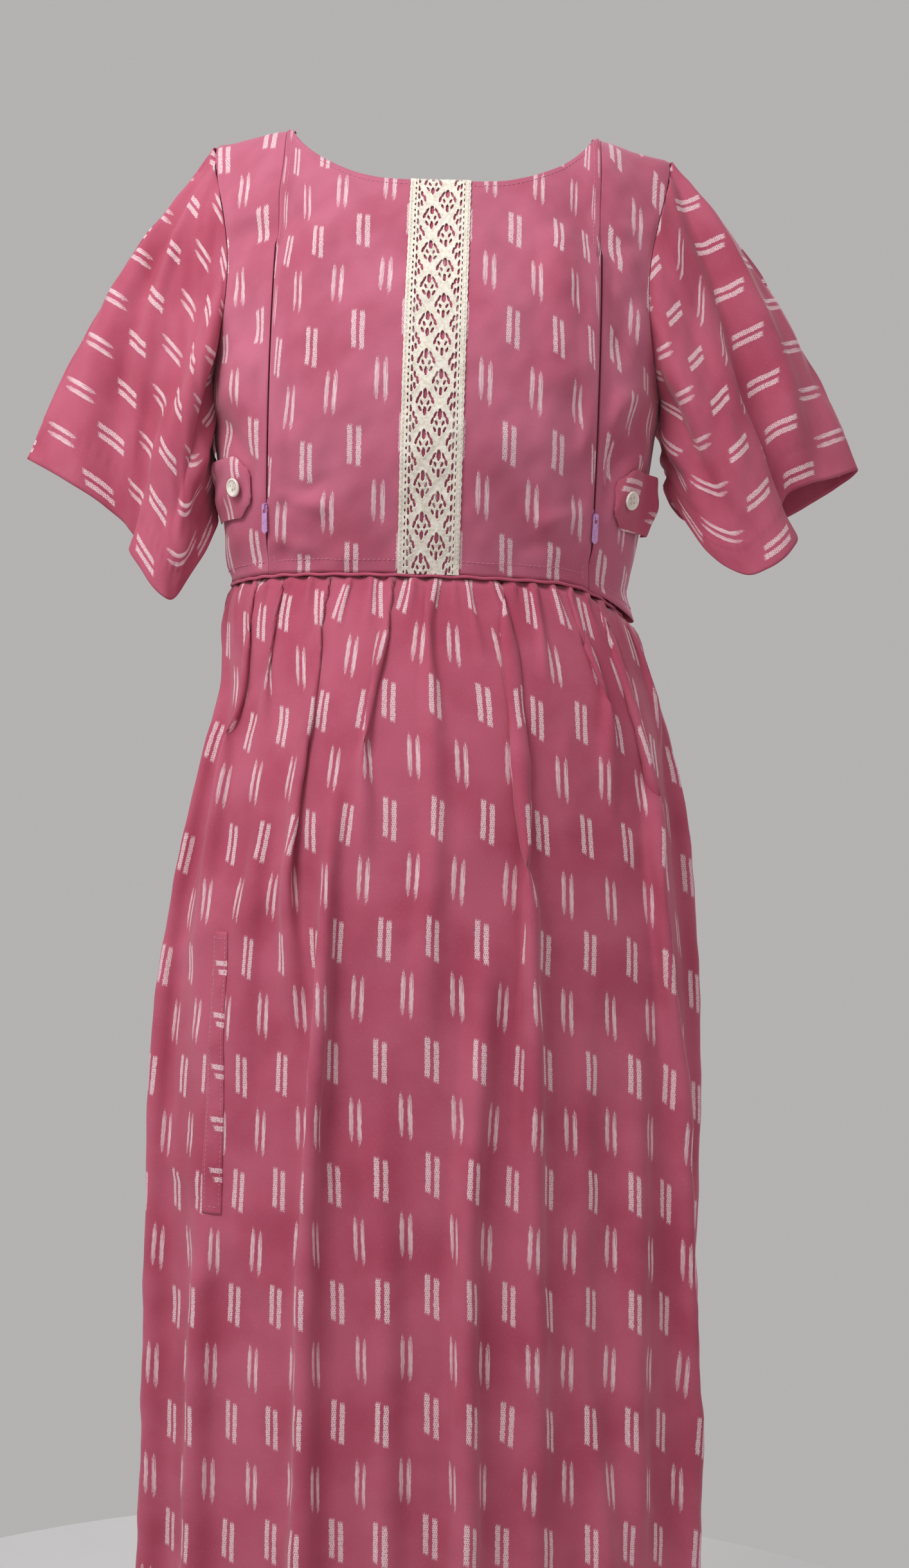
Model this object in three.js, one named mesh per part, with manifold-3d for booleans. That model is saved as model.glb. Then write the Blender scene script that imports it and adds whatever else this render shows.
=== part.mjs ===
// A short-sleeved nursing gown: panelled bodice with two concealed zips, lace trim,
// side belts, flared sleeves and a long gathered skirt with one pocket.
// Millimetres, +Z up, front towards -Y, origin midway between the two neck points.
// A level is a distance below the neck points, and a turn is an angle round the body
// from its centre line, positive towards +X.
import * as THREE from 'three';
import { mergeVertices } from 'three/addons/utils/BufferGeometryUtils.js';
import Module from 'manifold-3d';

const wasm = await Module();
wasm.setup();

// Cloth and clearances
const cloth = 1.2;
const layGap = 0.4; // between two layers that lie on each other
const curvedGap = 0.9; // the same, where both follow a curved stretch of the body
const seamGap = 0.4; // between the edges of two panels that are sewn together
const runClear = 0.3; // between a moving piece and what it runs on

// Bodice
const neckHalfWidth = 116;
const neckDepthFront = 54;
const neckDepthBack = 22;
const shoulderHalfWidth = 173;
const shoulderFall = 14;
const shoulderEase = 80; // the level by which the slope of the shoulder has died out
const waistLevel = 345;
const waistHalfWidth = 150;
const waistDepthFront = 90;
const waistDepthBack = 94;
const waistSagLeft = 3; // how far the waist seam drops at each side
const waistSagRight = 22;
const armpitLevel = 205;
const armholeFrom = 22.5; // angle between the armhole's edge and the side, at the shoulder
const armholeWidest = 29; // the same, where the armhole is widest
const armholeWidestLevel = 105;
const facingWidth = 30;
const facingThick = 0.8;
const facingGap = 1.1; // wider than other gaps, because the shoulder is sharply curved

// Skirt
const skirtLength = 905;
const pipingRadius = 1.5;
const pipingGap = 0.8; // from the piping to the panels above and below it

// Lace trim
const laceWidth = 44;
const laceThick = 0.8;

// Concealed zips: each runs on an arc about an axis along X
const zipOffset = 118;
const zipFrontDepth = 88; // from the neck line's plane to the arc's most forward point
const zipRadius = 280;
const zipTilt = THREE.MathUtils.degToRad(33);
const zipTopLevel = 108;
const zipAboveWaist = 45;
const zipSlit = 9;
const zipFlat = 15; // half width of the strip of cloth that lies true to the zip
const zipBlend = 34; // over which the cloth then returns to the body's section
const tapeWidth = 10;
const tapeThick = 0.5;
const tapeTail = 10; // how far the tape runs past the coil at each end
const coilWidth = 1.2;
const coilThick = 1.4;
const coilPart = 1.1; // gap between the two coils, in which the slider's post runs
const stopLength = 3;
const sliderWidth = 7.4;
const sliderLength = 9;
const sliderPlate = 0.9;
const sliderPost = 0.5;
const sliderPostLength = 5;
const bridgeWidth = 1.6;
const bridgeLength = 4;
const bridgeHoleRadius = 0.8;
const pullStand = 4.6; // pivot's height over the cloth's middle
const pullPinRadius = 0.45;
const pullLength = 20;
const pullArm = 1.1;
const pullThick = 1.0;
const pullForkDepth = 5;

// Sleeves
const sleeveHemOut = [312, 243]; // the hem's outer corner, as [out from centre, level]
const sleeveHemIn = [186, 334];
const sleeveHemHalfDepth = 56;
const sleeveRound = 12;

// Side belts, with a button each
const beltLevel = 281;
const beltWidth = 44;
const beltThick = 1.6;
const beltStart = THREE.MathUtils.degToRad(84);
const beltEnd = THREE.MathUtils.degToRad(55);
const buttonTurn = THREE.MathUtils.degToRad(62);
const buttonRadius = 7;
const buttonThick = 2.4;
const buttonHole = 0.9;
const buttonHoleSpread = 1.7;
const shankRadius = 1.4;
const slotLength = 12;
const slotClear = 0.5;

// Tab in the left side seam
const tabLength = 9;
const tabHeight = 20;
const tabThick = 0.9;
const tabLevel = 272;

// Pocket on the left of the skirt
const pocketOffset = 141;
const pocketLevel = 606;
const weltWidth = 15;
const weltLength = 202;
const weltThick = 1.4;
const slitWidth = 5.4;
const slitLength = 163;
const slitInset = 6; // from the welt's top end down to the slit's
const bagReach = 62;
const bagLength = 190;
const bagHollow = 13;
const bagSet = 0.6; // from the skirt's inside to the bag at its top corners

// Values worked out from those above
const zipBottomLevel = waistLevel - zipAboveWaist;
const zipMidLevel = (zipTopLevel + zipBottomLevel) / 2;
const zipHalfAngle = Math.asin((zipBottomLevel - zipTopLevel) / 2 / zipRadius);
const zipAxisY = zipRadius - zipFrontDepth;
const tapeLift = -(cloth / 2 + curvedGap + tapeThick / 2);
const slitLevel = pocketLevel + slitInset;
const edgeRoot = 0.04; // keeps the front and the back apart along the shoulder seam
const bodiceRows = 26; // of faces, from the shoulder to the waist

const clamp = THREE.MathUtils.clamp;
const lerp = THREE.MathUtils.lerp;
const smooth = THREE.MathUtils.smoothstep;

// A smooth curve through [place, value] stations, with the places rising.
function through(stations) {
  const slopes = stations.map((s, i) => {
    const before = stations[Math.max(i - 1, 0)];
    const after = stations[Math.min(i + 1, stations.length - 1)];
    return (after[1] - before[1]) / (after[0] - before[0]);
  });
  return (place) => {
    let i = 0;
    while (i < stations.length - 2 && place > stations[i + 1][0]) i += 1;
    const [from, low] = stations[i];
    const [to, high] = stations[i + 1];
    const span = to - from;
    const t = clamp((place - from) / span, 0, 1);
    const rise = t * t * (3 - 2 * t);
    const start = t * (1 - t) * (1 - t) * span * slopes[i];
    const end = t * t * (t - 1) * span * slopes[i + 1];
    return low + (high - low) * rise + start + end;
  };
}

// How far forward the zip's line lies at a level, on its arc.
function zipForward(level) {
  const rise = clamp(level - zipMidLevel, -0.9 * zipRadius, 0.9 * zipRadius);
  return Math.sqrt(zipRadius ** 2 - rise ** 2) - zipAxisY;
}

const bodiceHalfWidth = through([
  [0, 187],
  [60, 184],
  [120, 178],
  [200, 171],
  [275, 162],
  [waistLevel, waistHalfWidth],
]);
const skirtHalfWidth = through([
  [0, waistHalfWidth],
  [90, 178],
  [210, 195],
  [330, 207],
  [486, 211],
  [749, 208],
  [skirtLength, 210],
]);

function halfWidth(level) {
  return level < waistLevel ? bodiceHalfWidth(level) : skirtHalfWidth(level - waistLevel);
}

// The front's depth at the centre, which puts the cloth on the zip's arc at the zip's offset.
function depthOverZip(level) {
  const share = Math.min(zipOffset / bodiceHalfWidth(level), 0.95);
  return zipForward(level) / Math.sqrt(1 - share ** 2);
}

// Depths over the square root of the level, so that the shoulder's top is round.
const zipStations = [0, 0.25, 0.5, 0.75, 1].map((share) => {
  const level = lerp(zipTopLevel, zipBottomLevel, share);
  return [Math.sqrt(level), depthOverZip(level)];
});
const bodiceDepthFront = through([
  [0, 0],
  [Math.sqrt(4), 22],
  [Math.sqrt(16), 41],
  [Math.sqrt(40), 60],
  ...zipStations,
  [Math.sqrt(waistLevel), waistDepthFront],
]);
const bodiceDepthBack = through([
  [0, 0],
  [Math.sqrt(4), 22],
  [Math.sqrt(16), 43],
  [Math.sqrt(40), 66],
  [Math.sqrt(80), 88],
  [Math.sqrt(150), 102],
  [Math.sqrt(220), 104],
  [Math.sqrt(waistLevel), waistDepthBack],
]);
const skirtDepthFront = through([
  [0, waistDepthFront],
  [90, 118],
  [210, 138],
  [330, 148],
  [486, 152],
  [skirtLength, 154],
]);
const skirtDepthBack = through([
  [0, waistDepthBack],
  [90, 112],
  [210, 128],
  [330, 138],
  [486, 144],
  [skirtLength, 150],
]);

function depth(face, root) {
  const below = root ** 2 - waistLevel;
  if (face === 'front') return below < 0 ? bodiceDepthFront(root) : skirtDepthFront(below);
  return below < 0 ? bodiceDepthBack(root) : skirtDepthBack(below);
}

function waistSag(turn) {
  const sag = turn > 0 ? waistSagRight : waistSagLeft;
  return sag * smooth(Math.abs(turn), 0.66, 1.5);
}

// The gown's middle surface, for a face, the root of a level, and a turn.
function bodyPoint(face, root, turn) {
  const level = root ** 2;
  const x = halfWidth(level) * Math.sin(turn);
  const outside = Math.max(Math.abs(x) - neckHalfWidth, 0);
  const slope = (shoulderFall * outside) / (shoulderHalfWidth - neckHalfWidth);
  const z = -level - slope * (1 - smooth(level, 0, shoulderEase));
  const y = depth(face, root) * Math.cos(turn);
  if (face === 'back') return new THREE.Vector3(x, y, z);
  const beside = Math.abs(x) - zipOffset;
  const nearLine = 1 - smooth(Math.abs(beside), zipFlat, zipFlat + zipBlend);
  const belowTop = smooth(level, zipTopLevel - 3 * tapeTail, zipTopLevel - tapeTail);
  const aboveEnd = 1 - smooth(level, zipBottomLevel + 1.2 * tapeTail, waistLevel - tapeTail / 2);
  const radius = zipRadius - beside * Math.tan(zipTilt);
  const rise = clamp(-z - zipMidLevel, -0.9 * radius, 0.9 * radius);
  const zipY = zipAxisY - Math.sqrt(radius ** 2 - rise ** 2);
  return new THREE.Vector3(x, lerp(-y, zipY, nearLine * belowTop * aboveEnd), z);
}

function turnAt(x, level) {
  return Math.asin(clamp(x / halfWidth(level), -1, 1));
}

// The armhole's edge, and the side seam below it.
function edgeTurn(level) {
  if (level >= armpitLevel) return Math.PI / 2;
  let back = lerp(armholeFrom, armholeWidest, smooth(level, 0, armholeWidestLevel));
  if (level > armholeWidestLevel) {
    const share = (level - armholeWidestLevel) / (armpitLevel - armholeWidestLevel);
    back = armholeWidest * Math.sqrt(1 - share ** 2);
  }
  return Math.PI / 2 - THREE.MathUtils.degToRad(back);
}

function neckLevel(x, deep, halfSpan) {
  const share = Math.min(Math.abs(x) / halfSpan, 1);
  return deep * (1 - share ** 3) ** 0.8;
}

// A closed sheet from two grids of points. It joins up round the columns when ringed, and
// otherwise has a wall at both ends.
function closedSheet(outer, inner, ringed) {
  const rows = outer.length;
  const columns = outer[0].length;
  const positions = [...outer.flat(), ...inner.flat()].flatMap((p) => [p.x, p.y, p.z]);
  const index = [];
  const at = (layer, row, column) => (layer * rows + row) * columns + (column % columns);
  const quad = (a, b, c, d) => index.push(a, b, c, a, c, d);
  const spans = ringed ? columns : columns - 1;
  for (let r = 0; r < rows - 1; r += 1) {
    for (let c = 0; c < spans; c += 1) {
      quad(at(0, r, c), at(0, r + 1, c), at(0, r + 1, c + 1), at(0, r, c + 1));
      quad(at(1, r, c), at(1, r, c + 1), at(1, r + 1, c + 1), at(1, r + 1, c));
    }
  }
  for (let c = 0; c < spans; c += 1) {
    quad(at(0, 0, c), at(0, 0, c + 1), at(1, 0, c + 1), at(1, 0, c));
    const last = rows - 1;
    quad(at(1, last, c), at(1, last, c + 1), at(0, last, c + 1), at(0, last, c));
  }
  for (let r = 0; r < rows - 1 && !ringed; r += 1) {
    const last = columns - 1;
    quad(at(1, r, 0), at(1, r + 1, 0), at(0, r + 1, 0), at(0, r, 0));
    quad(at(0, r, last), at(0, r + 1, last), at(1, r + 1, last), at(1, r, last));
  }
  return facetedSolid(positions, index);
}

function facetedSolid(positions, index) {
  const geometry = new THREE.BufferGeometry();
  geometry.setAttribute('position', new THREE.Float32BufferAttribute(positions, 3));
  geometry.setIndex(index);
  return geometry;
}

function evenly(count) {
  return Array.from({ length: count + 1 }, (_, i) => i / count);
}

// A sheet of cloth over a surface point(u, v), between two lifts along its outward normal.
// u runs towards +X over the front and v runs down.
function sheet(point, us, vs, low, high, ringed = false) {
  const step = 1e-4;
  const lifted = (u, v, lift) => {
    const down = point(u, Math.min(v + step, 1)).sub(point(u, Math.max(v - step, 0)));
    const left = ringed ? u - step : Math.max(u - step, 0);
    const right = ringed ? u + step : Math.min(u + step, 1);
    const across = point(right, v).sub(point(left, v));
    const normal = down.cross(across).normalize();
    return point(u, v).addScaledVector(normal, lift);
  };
  const columns = ringed ? us.slice(0, -1) : us;
  const layer = (lift) => vs.map((v) => columns.map((u) => lifted(u, v, lift)));
  return closedSheet(layer(high), layer(low), ringed);
}

function toSolid(geometry) {
  const bare = geometry.clone();
  bare.deleteAttribute('normal');
  bare.deleteAttribute('uv');
  const merged = mergeVertices(bare, 1e-4);
  const mesh = new wasm.Mesh({
    numProp: 3,
    vertProperties: new Float32Array(merged.attributes.position.array),
    triVerts: new Uint32Array(merged.index.array),
  });
  return new wasm.Manifold(mesh);
}

function toGeometry(solid) {
  const mesh = solid.getMesh();
  return facetedSolid(Array.from(mesh.vertProperties), Array.from(mesh.triVerts));
}

function cut(geometry, ...tools) {
  return toGeometry(tools.reduce((left, tool) => left.subtract(toSolid(tool)), toSolid(geometry)));
}

function join(first, ...others) {
  return toGeometry(others.reduce((whole, other) => whole.add(toSolid(other)), toSolid(first)));
}

function keep(geometry, tool) {
  return toGeometry(toSolid(geometry).intersect(toSolid(tool)));
}

function box(x, y, z, cx = 0, cy = 0, cz = 0) {
  return new THREE.BoxGeometry(x, y, z).translate(cx, cy, cz);
}

// Materials
const cotton = { color: 0xcb5f8c, roughness: 0.85, metalness: 0 };
const paleCotton = { color: 0xd98fae, roughness: 0.85, metalness: 0 };
const laceThread = { color: 0xf1ece0, roughness: 0.9, metalness: 0 };
const zipThread = { color: 0xc97fae, roughness: 0.7, metalness: 0 };
const coilNylon = { color: 0xc07aa6, roughness: 0.4, metalness: 0 };
const lilacMetal = { color: 0xc9a0d0, roughness: 0.35, metalness: 0.3 };
const pearl = { color: 0xf3ead8, roughness: 0.25, metalness: 0 };
const navy = { color: 0x1c2450, roughness: 0.8, metalness: 0 };

const gown = new THREE.Group();

function add(name, geometry, look, parent = gown) {
  const mesh = new THREE.Mesh(geometry, new THREE.MeshStandardMaterial(look));
  mesh.name = name;
  parent.add(mesh);
  return mesh;
}

// A prism along Y over one face of the body, with all that lies above a neck line in it.
function aboveNeck(face, deep, halfSpan) {
  const above = 40;
  const reach = 200;
  const outline = new THREE.Shape();
  outline.moveTo(halfSpan, above);
  outline.lineTo(-halfSpan, above);
  for (const share of evenly(28)) {
    const x = -halfSpan * Math.cos(share * Math.PI);
    outline.lineTo(x, -neckLevel(x, deep, halfSpan));
  }
  const prism = new THREE.ExtrudeGeometry(outline, { depth: reach, bevelEnabled: false });
  prism.rotateX(Math.PI / 2);
  return face === 'front' ? prism : prism.translate(0, reach, 0);
}

// The upper edge of the waist seam's piping, as the root of a level.
function bodiceEndRoot(turn) {
  return Math.sqrt(waistLevel + waistSag(turn) - pipingRadius - pipingGap);
}

function slitHalf(level) {
  const opened = smooth(level, zipTopLevel - 2 * tapeTail, zipTopLevel - tapeTail / 2);
  const closed = smooth(level, zipBottomLevel + tapeTail / 2, waistLevel - tapeTail);
  return seamGap / 2 + (zipSlit / 2) * opened * (1 - closed);
}

function addBodice() {
  const rows = evenly(bodiceRows);
  const reach = zipOffset - seamGap / 2;
  const marks = [0, 0.2, 0.4, 0.6, 0.76, (zipOffset - zipFlat) / reach, 0.95, 1];
  const centreColumns = [...marks.slice(1).reverse().map((m) => 0.5 - m / 2)];
  centreColumns.push(...marks.map((m) => 0.5 + m / 2));
  const centre = (u, v) => {
    const root = lerp(edgeRoot, bodiceEndRoot(turnAt((2 * u - 1) * reach, waistLevel)), v);
    const half = zipOffset - slitHalf(root ** 2);
    return bodyPoint('front', root, turnAt((2 * u - 1) * half, root ** 2));
  };
  const centreSheet = sheet(centre, centreColumns, rows, -cloth / 2, cloth / 2);
  const frontNeck = aboveNeck('front', neckDepthFront, neckHalfWidth);
  add('front_centre_panel', cut(centreSheet, frontNeck), cotton);

  for (const [name, side] of [['left', -1], ['right', 1]]) {
    const panel = (u, v) => {
      const share = side > 0 ? u : 1 - u;
      const root = lerp(edgeRoot, bodiceEndRoot(side * lerp(0.9, 1.57, share)), v);
      const level = root ** 2;
      const from = turnAt(zipOffset + slitHalf(level), level);
      const gap = seamGap / 2 / depth('front', Math.max(root, 3));
      return bodyPoint('front', root, side * lerp(from, edgeTurn(level) - gap, share));
    };
    const marksOut = [0, 0.1, 0.21, 0.36, 0.52, 0.68, 0.84, 1];
    const columns = side > 0 ? marksOut : marksOut.map((m) => 1 - m).reverse();
    const geometry = sheet(panel, columns, rows, -cloth / 2, cloth / 2);
    add(`front_side_panel_${name}`, geometry, cotton);
  }

  const back = (u, v) => {
    const turn = 1 - 2 * u;
    const root = lerp(edgeRoot, bodiceEndRoot((turn * Math.PI) / 2), v);
    const gap = seamGap / 2 / depth('back', Math.max(root, 3));
    return bodyPoint('back', root, turn * (edgeTurn(root ** 2) - gap));
  };
  const backSheet = sheet(back, evenly(22), rows, -cloth / 2, cloth / 2);
  add('back_panel', cut(backSheet, aboveNeck('back', neckDepthBack, neckHalfWidth)), cotton);
}

function addNeckFacings() {
  const faces = [['front', neckDepthFront, 1], ['back', neckDepthBack, -1]];
  const reach = neckHalfWidth + facingWidth;
  for (const [face, deep, way] of faces) {
    const endRoot = Math.sqrt(deep + facingWidth + cloth);
    const facing = (u, v) => {
      const root = lerp(2 * edgeRoot, endRoot, v);
      return bodyPoint(face, root, turnAt((2 * u - 1) * way * (reach + cloth), root ** 2));
    };
    const high = -cloth / 2 - facingGap;
    const whole = sheet(facing, evenly(26), evenly(9), high - facingThick, high);
    const kept = keep(whole, aboveNeck(face, deep + facingWidth, reach));
    add(`neck_facing_${face}`, cut(kept, aboveNeck(face, deep, neckHalfWidth)), paleCotton);
  }
}

function addLace() {
  // Below the neckline, the rows are those of the panel that the lace lies on.
  const panelRoot = (v) => lerp(edgeRoot, bodiceEndRoot(0), v);
  const clear = Math.sqrt(neckDepthFront) + 0.3;
  const below = evenly(bodiceRows).filter((v) => panelRoot(v) > clear);
  const lace = (u, v) => {
    const x = (u - 0.5) * laceWidth;
    const top = Math.sqrt(neckLevel(x, neckDepthFront, neckHalfWidth));
    const root = v > below[0] ? panelRoot(v) : lerp(top, panelRoot(below[0]), v / below[0]);
    return bodyPoint('front', root, turnAt(x, root ** 2));
  };
  const low = cloth / 2 + curvedGap;
  add('lace_trim', sheet(lace, evenly(4), [0, ...below], low, low + laceThick), laceThread);
}

function addWaistPiping() {
  const count = 56;
  const sides = 6;
  const around = (i) => {
    const angle = (i / count) * 2 * Math.PI - Math.PI;
    const folded = Math.abs(angle) <= Math.PI / 2 ? angle : Math.sign(angle) * Math.PI - angle;
    const face = Math.abs(angle) <= Math.PI / 2 ? 'front' : 'back';
    const level = waistLevel + waistSag(folded);
    return bodyPoint(face, Math.sqrt(level), folded);
  };
  const positions = [];
  const index = [];
  const at = (i, j) => (i % count) * sides + (j % sides);
  for (let i = 0; i < count; i += 1) {
    const centre = around(i);
    const along = around(i + 1).sub(around(i - 1 + count)).normalize();
    const out = along.clone().cross(new THREE.Vector3(0, 0, 1)).normalize();
    const up = out.clone().cross(along);
    for (let j = 0; j < sides; j += 1) {
      const angle = (j / sides) * 2 * Math.PI;
      const point = centre.clone().addScaledVector(out, pipingRadius * Math.cos(angle));
      point.addScaledVector(up, pipingRadius * Math.sin(angle));
      positions.push(point.x, point.y, point.z);
      index.push(at(i, j), at(i + 1, j), at(i + 1, j + 1));
      index.push(at(i, j), at(i + 1, j + 1), at(i, j + 1));
    }
  }
  add('waist_piping', facetedSolid(positions, index), cotton);
}

function skirtPoint(face, turn, v) {
  const top = waistLevel + waistSag(turn) + pipingRadius + pipingGap;
  const root = Math.sqrt(lerp(top, waistLevel + skirtLength, v));
  const gap = seamGap / 2 / depth(face, root);
  return bodyPoint(face, root, clamp(turn, gap - Math.PI / 2, Math.PI / 2 - gap));
}

// A slab of the skirt's front, from one x to another and one level to another.
function skirtSlab(fromX, toX, fromLevel, toLevel, columns, rows, low, high) {
  const slab = (u, v) => {
    const level = lerp(fromLevel, toLevel, v);
    return bodyPoint('front', Math.sqrt(level), turnAt(lerp(fromX, toX, u), level));
  };
  return sheet(slab, evenly(columns), evenly(rows), low, high);
}

const slitOuter = -(pocketOffset + weltWidth / 2 + seamGap + slitWidth);

function addSkirt() {
  const rows = [0, 0.03, 0.08, 0.14, ...evenly(9).map((v) => 0.22 + 0.78 * v)];
  const front = (u, v) => skirtPoint('front', (u - 0.5) * Math.PI, v);
  const back = (u, v) => skirtPoint('back', (0.5 - u) * Math.PI, v);
  const slitEnd = slitLevel + slitLength;
  const slitReach = slitOuter + slitWidth;
  const slit = skirtSlab(slitOuter, slitReach, slitLevel, slitEnd, 1, 6, -3, 3);
  const frontSheet = sheet(front, evenly(22), rows, -cloth / 2, cloth / 2);
  add('skirt_front', cut(frontSheet, slit), cotton);
  add('skirt_back', sheet(back, evenly(22), rows, -cloth / 2, cloth / 2), cotton);
}

function addPocket() {
  const low = cloth / 2 + layGap;
  const fromX = -pocketOffset - weltWidth / 2;
  const toX = -pocketOffset + weltWidth / 2;
  const weltEnd = pocketLevel + weltLength;
  const welt = skirtSlab(fromX, toX, pocketLevel, weltEnd, 2, 8, low, low + weltThick);
  add('pocket_welt', welt, cotton);

  // A flat-walled bag, hung behind the skirt from the slit towards the side seam.
  const mouthX = slitOuter + slitWidth;
  const point = (x) => bodyPoint('front', Math.sqrt(pocketLevel), turnAt(x, pocketLevel));
  const mouth = point(mouthX);
  const far = point(mouthX - bagReach * 0.66);
  const angle = Math.atan2(far.y - mouth.y, far.x - mouth.x);
  const wall = cloth;
  const deep = bagHollow + 2 * wall;
  const outer = box(bagReach, deep, bagLength, bagReach / 2, -deep / 2, 0);
  const hollowEnd = bagReach - wall;
  const hollow = box(bagReach, bagHollow, bagLength - 2 * wall, hollowEnd - bagReach / 2, -deep / 2, 0);
  const lip = box(slitWidth * 2, 2 * wall + 1, slitLength, 0, 0, 0);
  const bag = add('pocket_bag', cut(outer, hollow, lip), paleCotton);
  bag.rotation.z = angle;
  const inward = new THREE.Vector3(Math.sin(angle), -Math.cos(angle), 0);
  bag.position.copy(mouth).addScaledVector(inward, cloth / 2 + bagSet);
  bag.position.z = -(slitLevel - slitInset + bagLength / 2);
}

// A frame on the body: x across, y up and z outward.
function frameOn(face, level, turn, lift) {
  const root = Math.sqrt(level);
  const step = 1e-3;
  const origin = bodyPoint(face, root, turn);
  const across = bodyPoint(face, root, turn + step).sub(bodyPoint(face, root, turn - step));
  const down = bodyPoint(face, root + step, turn).sub(bodyPoint(face, root - step, turn));
  const outward = down.clone().cross(across).normalize();
  const right = across.normalize();
  const up = outward.clone().cross(right);
  origin.addScaledVector(outward, lift);
  return new THREE.Matrix4().makeBasis(right, up, outward).setPosition(origin);
}

function place(mesh, matrix) {
  matrix.decompose(mesh.position, mesh.quaternion, mesh.scale);
}

function buttonShape() {
  const rim = 0.5;
  const half = buttonThick / 2;
  const profile = [
    [0, -half],
    [buttonRadius - rim, -half],
    [buttonRadius, -half + rim],
    [buttonRadius, half - rim],
    [buttonRadius - rim, half],
    [buttonRadius - 4 * rim, half],
    [buttonRadius - 5 * rim, half - rim],
    [0, half - rim],
  ].map(([x, y]) => new THREE.Vector2(x, y));
  const disc = new THREE.LatheGeometry(profile, 18).rotateX(Math.PI / 2);
  const holes = [[-1, -1], [-1, 1], [1, -1], [1, 1]].map(([x, y]) => {
    const hole = new THREE.CylinderGeometry(buttonHole, buttonHole, 2 * buttonThick, 6);
    return hole.rotateX(Math.PI / 2).translate(x * buttonHoleSpread, y * buttonHoleSpread, 0);
  });
  return cut(disc, ...holes);
}

function addBelts() {
  const low = cloth / 2 + layGap;
  for (const [name, side] of [['left', -1], ['right', 1]]) {
    const belt = (u, v) => {
      const share = side > 0 ? 1 - u : u;
      const taper = 1 - 0.45 * smooth(share, 0.72, 1);
      const level = beltLevel + (v - 0.5) * beltWidth * taper;
      return bodyPoint('front', Math.sqrt(level), side * lerp(beltStart, beltEnd, share));
    };
    const high = low + beltThick;
    const plain = sheet(belt, evenly(10), evenly(4), low, high);
    const onBelt = frameOn('front', beltLevel, side * buttonTurn, (low + high) / 2);
    const slotWidth = 2 * (shankRadius + slotClear);
    const slot = box(slotLength, slotWidth, 4 * beltThick).applyMatrix4(onBelt);
    add(`adjuster_belt_${name}`, cut(plain, slot), cotton);

    const seat = high + runClear + buttonThick / 2;
    const button = add(`belt_button_${name}`, buttonShape(), pearl);
    place(button, frameOn('front', beltLevel, side * buttonTurn, seat));
    const shankLength = high - cloth / 2 - layGap;
    const round = new THREE.CylinderGeometry(shankRadius, shankRadius, shankLength, 10);
    const shank = add(`button_shank_${name}`, round.rotateX(Math.PI / 2), laceThread);
    place(shank, frameOn('front', beltLevel, side * buttonTurn, low + shankLength / 2));
  }
}

function addTab() {
  const tab = add('side_tab', box(tabLength, tabThick, tabHeight), navy);
  const out = halfWidth(tabLevel - tabHeight / 2) + cloth / 2 + layGap + tabLength / 2;
  tab.position.set(-out, 0, -tabLevel);
}

// The armhole's edge: angle 0 is the shoulder, a half turn is the armpit, and the front
// comes first.
function armholePoint(angle) {
  const front = angle <= Math.PI;
  const share = (1 - Math.cos(angle)) / 2;
  const level = armpitLevel * share ** 1.15;
  return bodyPoint(front ? 'front' : 'back', Math.sqrt(level), edgeTurn(level));
}

function addSleeves() {
  const [outX, outLevel] = sleeveHemOut;
  const [inX, inLevel] = sleeveHemIn;
  const middle = new THREE.Vector3((outX + inX) / 2, 0, -(outLevel + inLevel) / 2);
  const reach = new THREE.Vector3((outX - inX) / 2, 0, (inLevel - outLevel) / 2);
  const shoulder = new THREE.Vector3(shoulderHalfWidth, 0, -shoulderFall);
  const bulge = middle.clone().sub(shoulder).cross(new THREE.Vector3(0, 1, 0)).normalize();
  if (bulge.x < 0) bulge.negate();
  for (const [name, side] of [['left', -1], ['right', 1]]) {
    const sleeve = (u, v) => {
      // Both sides run so that the sheet's normal points outward.
      const turned = ((((side > 0 ? u : 1 - u) % 1) + 1) % 1) * 2 * Math.PI;
      const arm = armholePoint(turned);
      arm.x += cloth + seamGap;
      const hem = middle.clone().addScaledVector(reach, Math.cos(turned));
      hem.y = -sleeveHemHalfDepth * Math.sin(turned);
      const point = arm.lerp(hem, v);
      const round = Math.sin(Math.PI * v) * sleeveRound * Math.max(Math.cos(turned), 0);
      point.addScaledVector(bulge, round);
      point.x *= side;
      return point;
    };
    const geometry = sheet(sleeve, evenly(26), evenly(7), -cloth / 2, cloth / 2, true);
    add(`sleeve_${name}`, geometry, cotton);
  }
}

// A bar along the zip's arc. Its section runs from d to d beside the line, outward from the
// centre of the body, and from h to h in lift; angles rise up the zip.
function zipBar(side, fromD, toD, fromH, toH, fromAngle, toAngle) {
  const steps = Math.ceil((toAngle - fromAngle) / THREE.MathUtils.degToRad(3));
  const spot = (d, h, angle) => {
    const out = zipOffset + d * Math.cos(zipTilt) + h * Math.sin(zipTilt);
    const radius = zipRadius - d * Math.sin(zipTilt) + h * Math.cos(zipTilt);
    const y = zipAxisY - radius * Math.cos(angle);
    return new THREE.Vector3(side * out, y, radius * Math.sin(angle) - zipMidLevel);
  };
  const ds = side > 0 ? [fromD, toD] : [toD, fromD];
  const layer = (h) => evenly(steps).map((share) => {
    const angle = lerp(toAngle, fromAngle, share);
    return ds.map((d) => spot(d, h, angle));
  });
  return closedSheet(layer(toH), layer(fromH), false);
}

// A group at an angle up a zip's arc, whose -y points outward and whose z points up the zip.
function zipStation(side, angle) {
  const axle = new THREE.Group();
  axle.position.set(0, zipAxisY, -zipMidLevel);
  axle.rotation.x = -angle;
  const seat = new THREE.Group();
  seat.position.set(side * zipOffset, -zipRadius, 0);
  seat.rotation.z = side * zipTilt;
  axle.add(seat);
  gown.add(axle);
  return seat;
}

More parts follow.
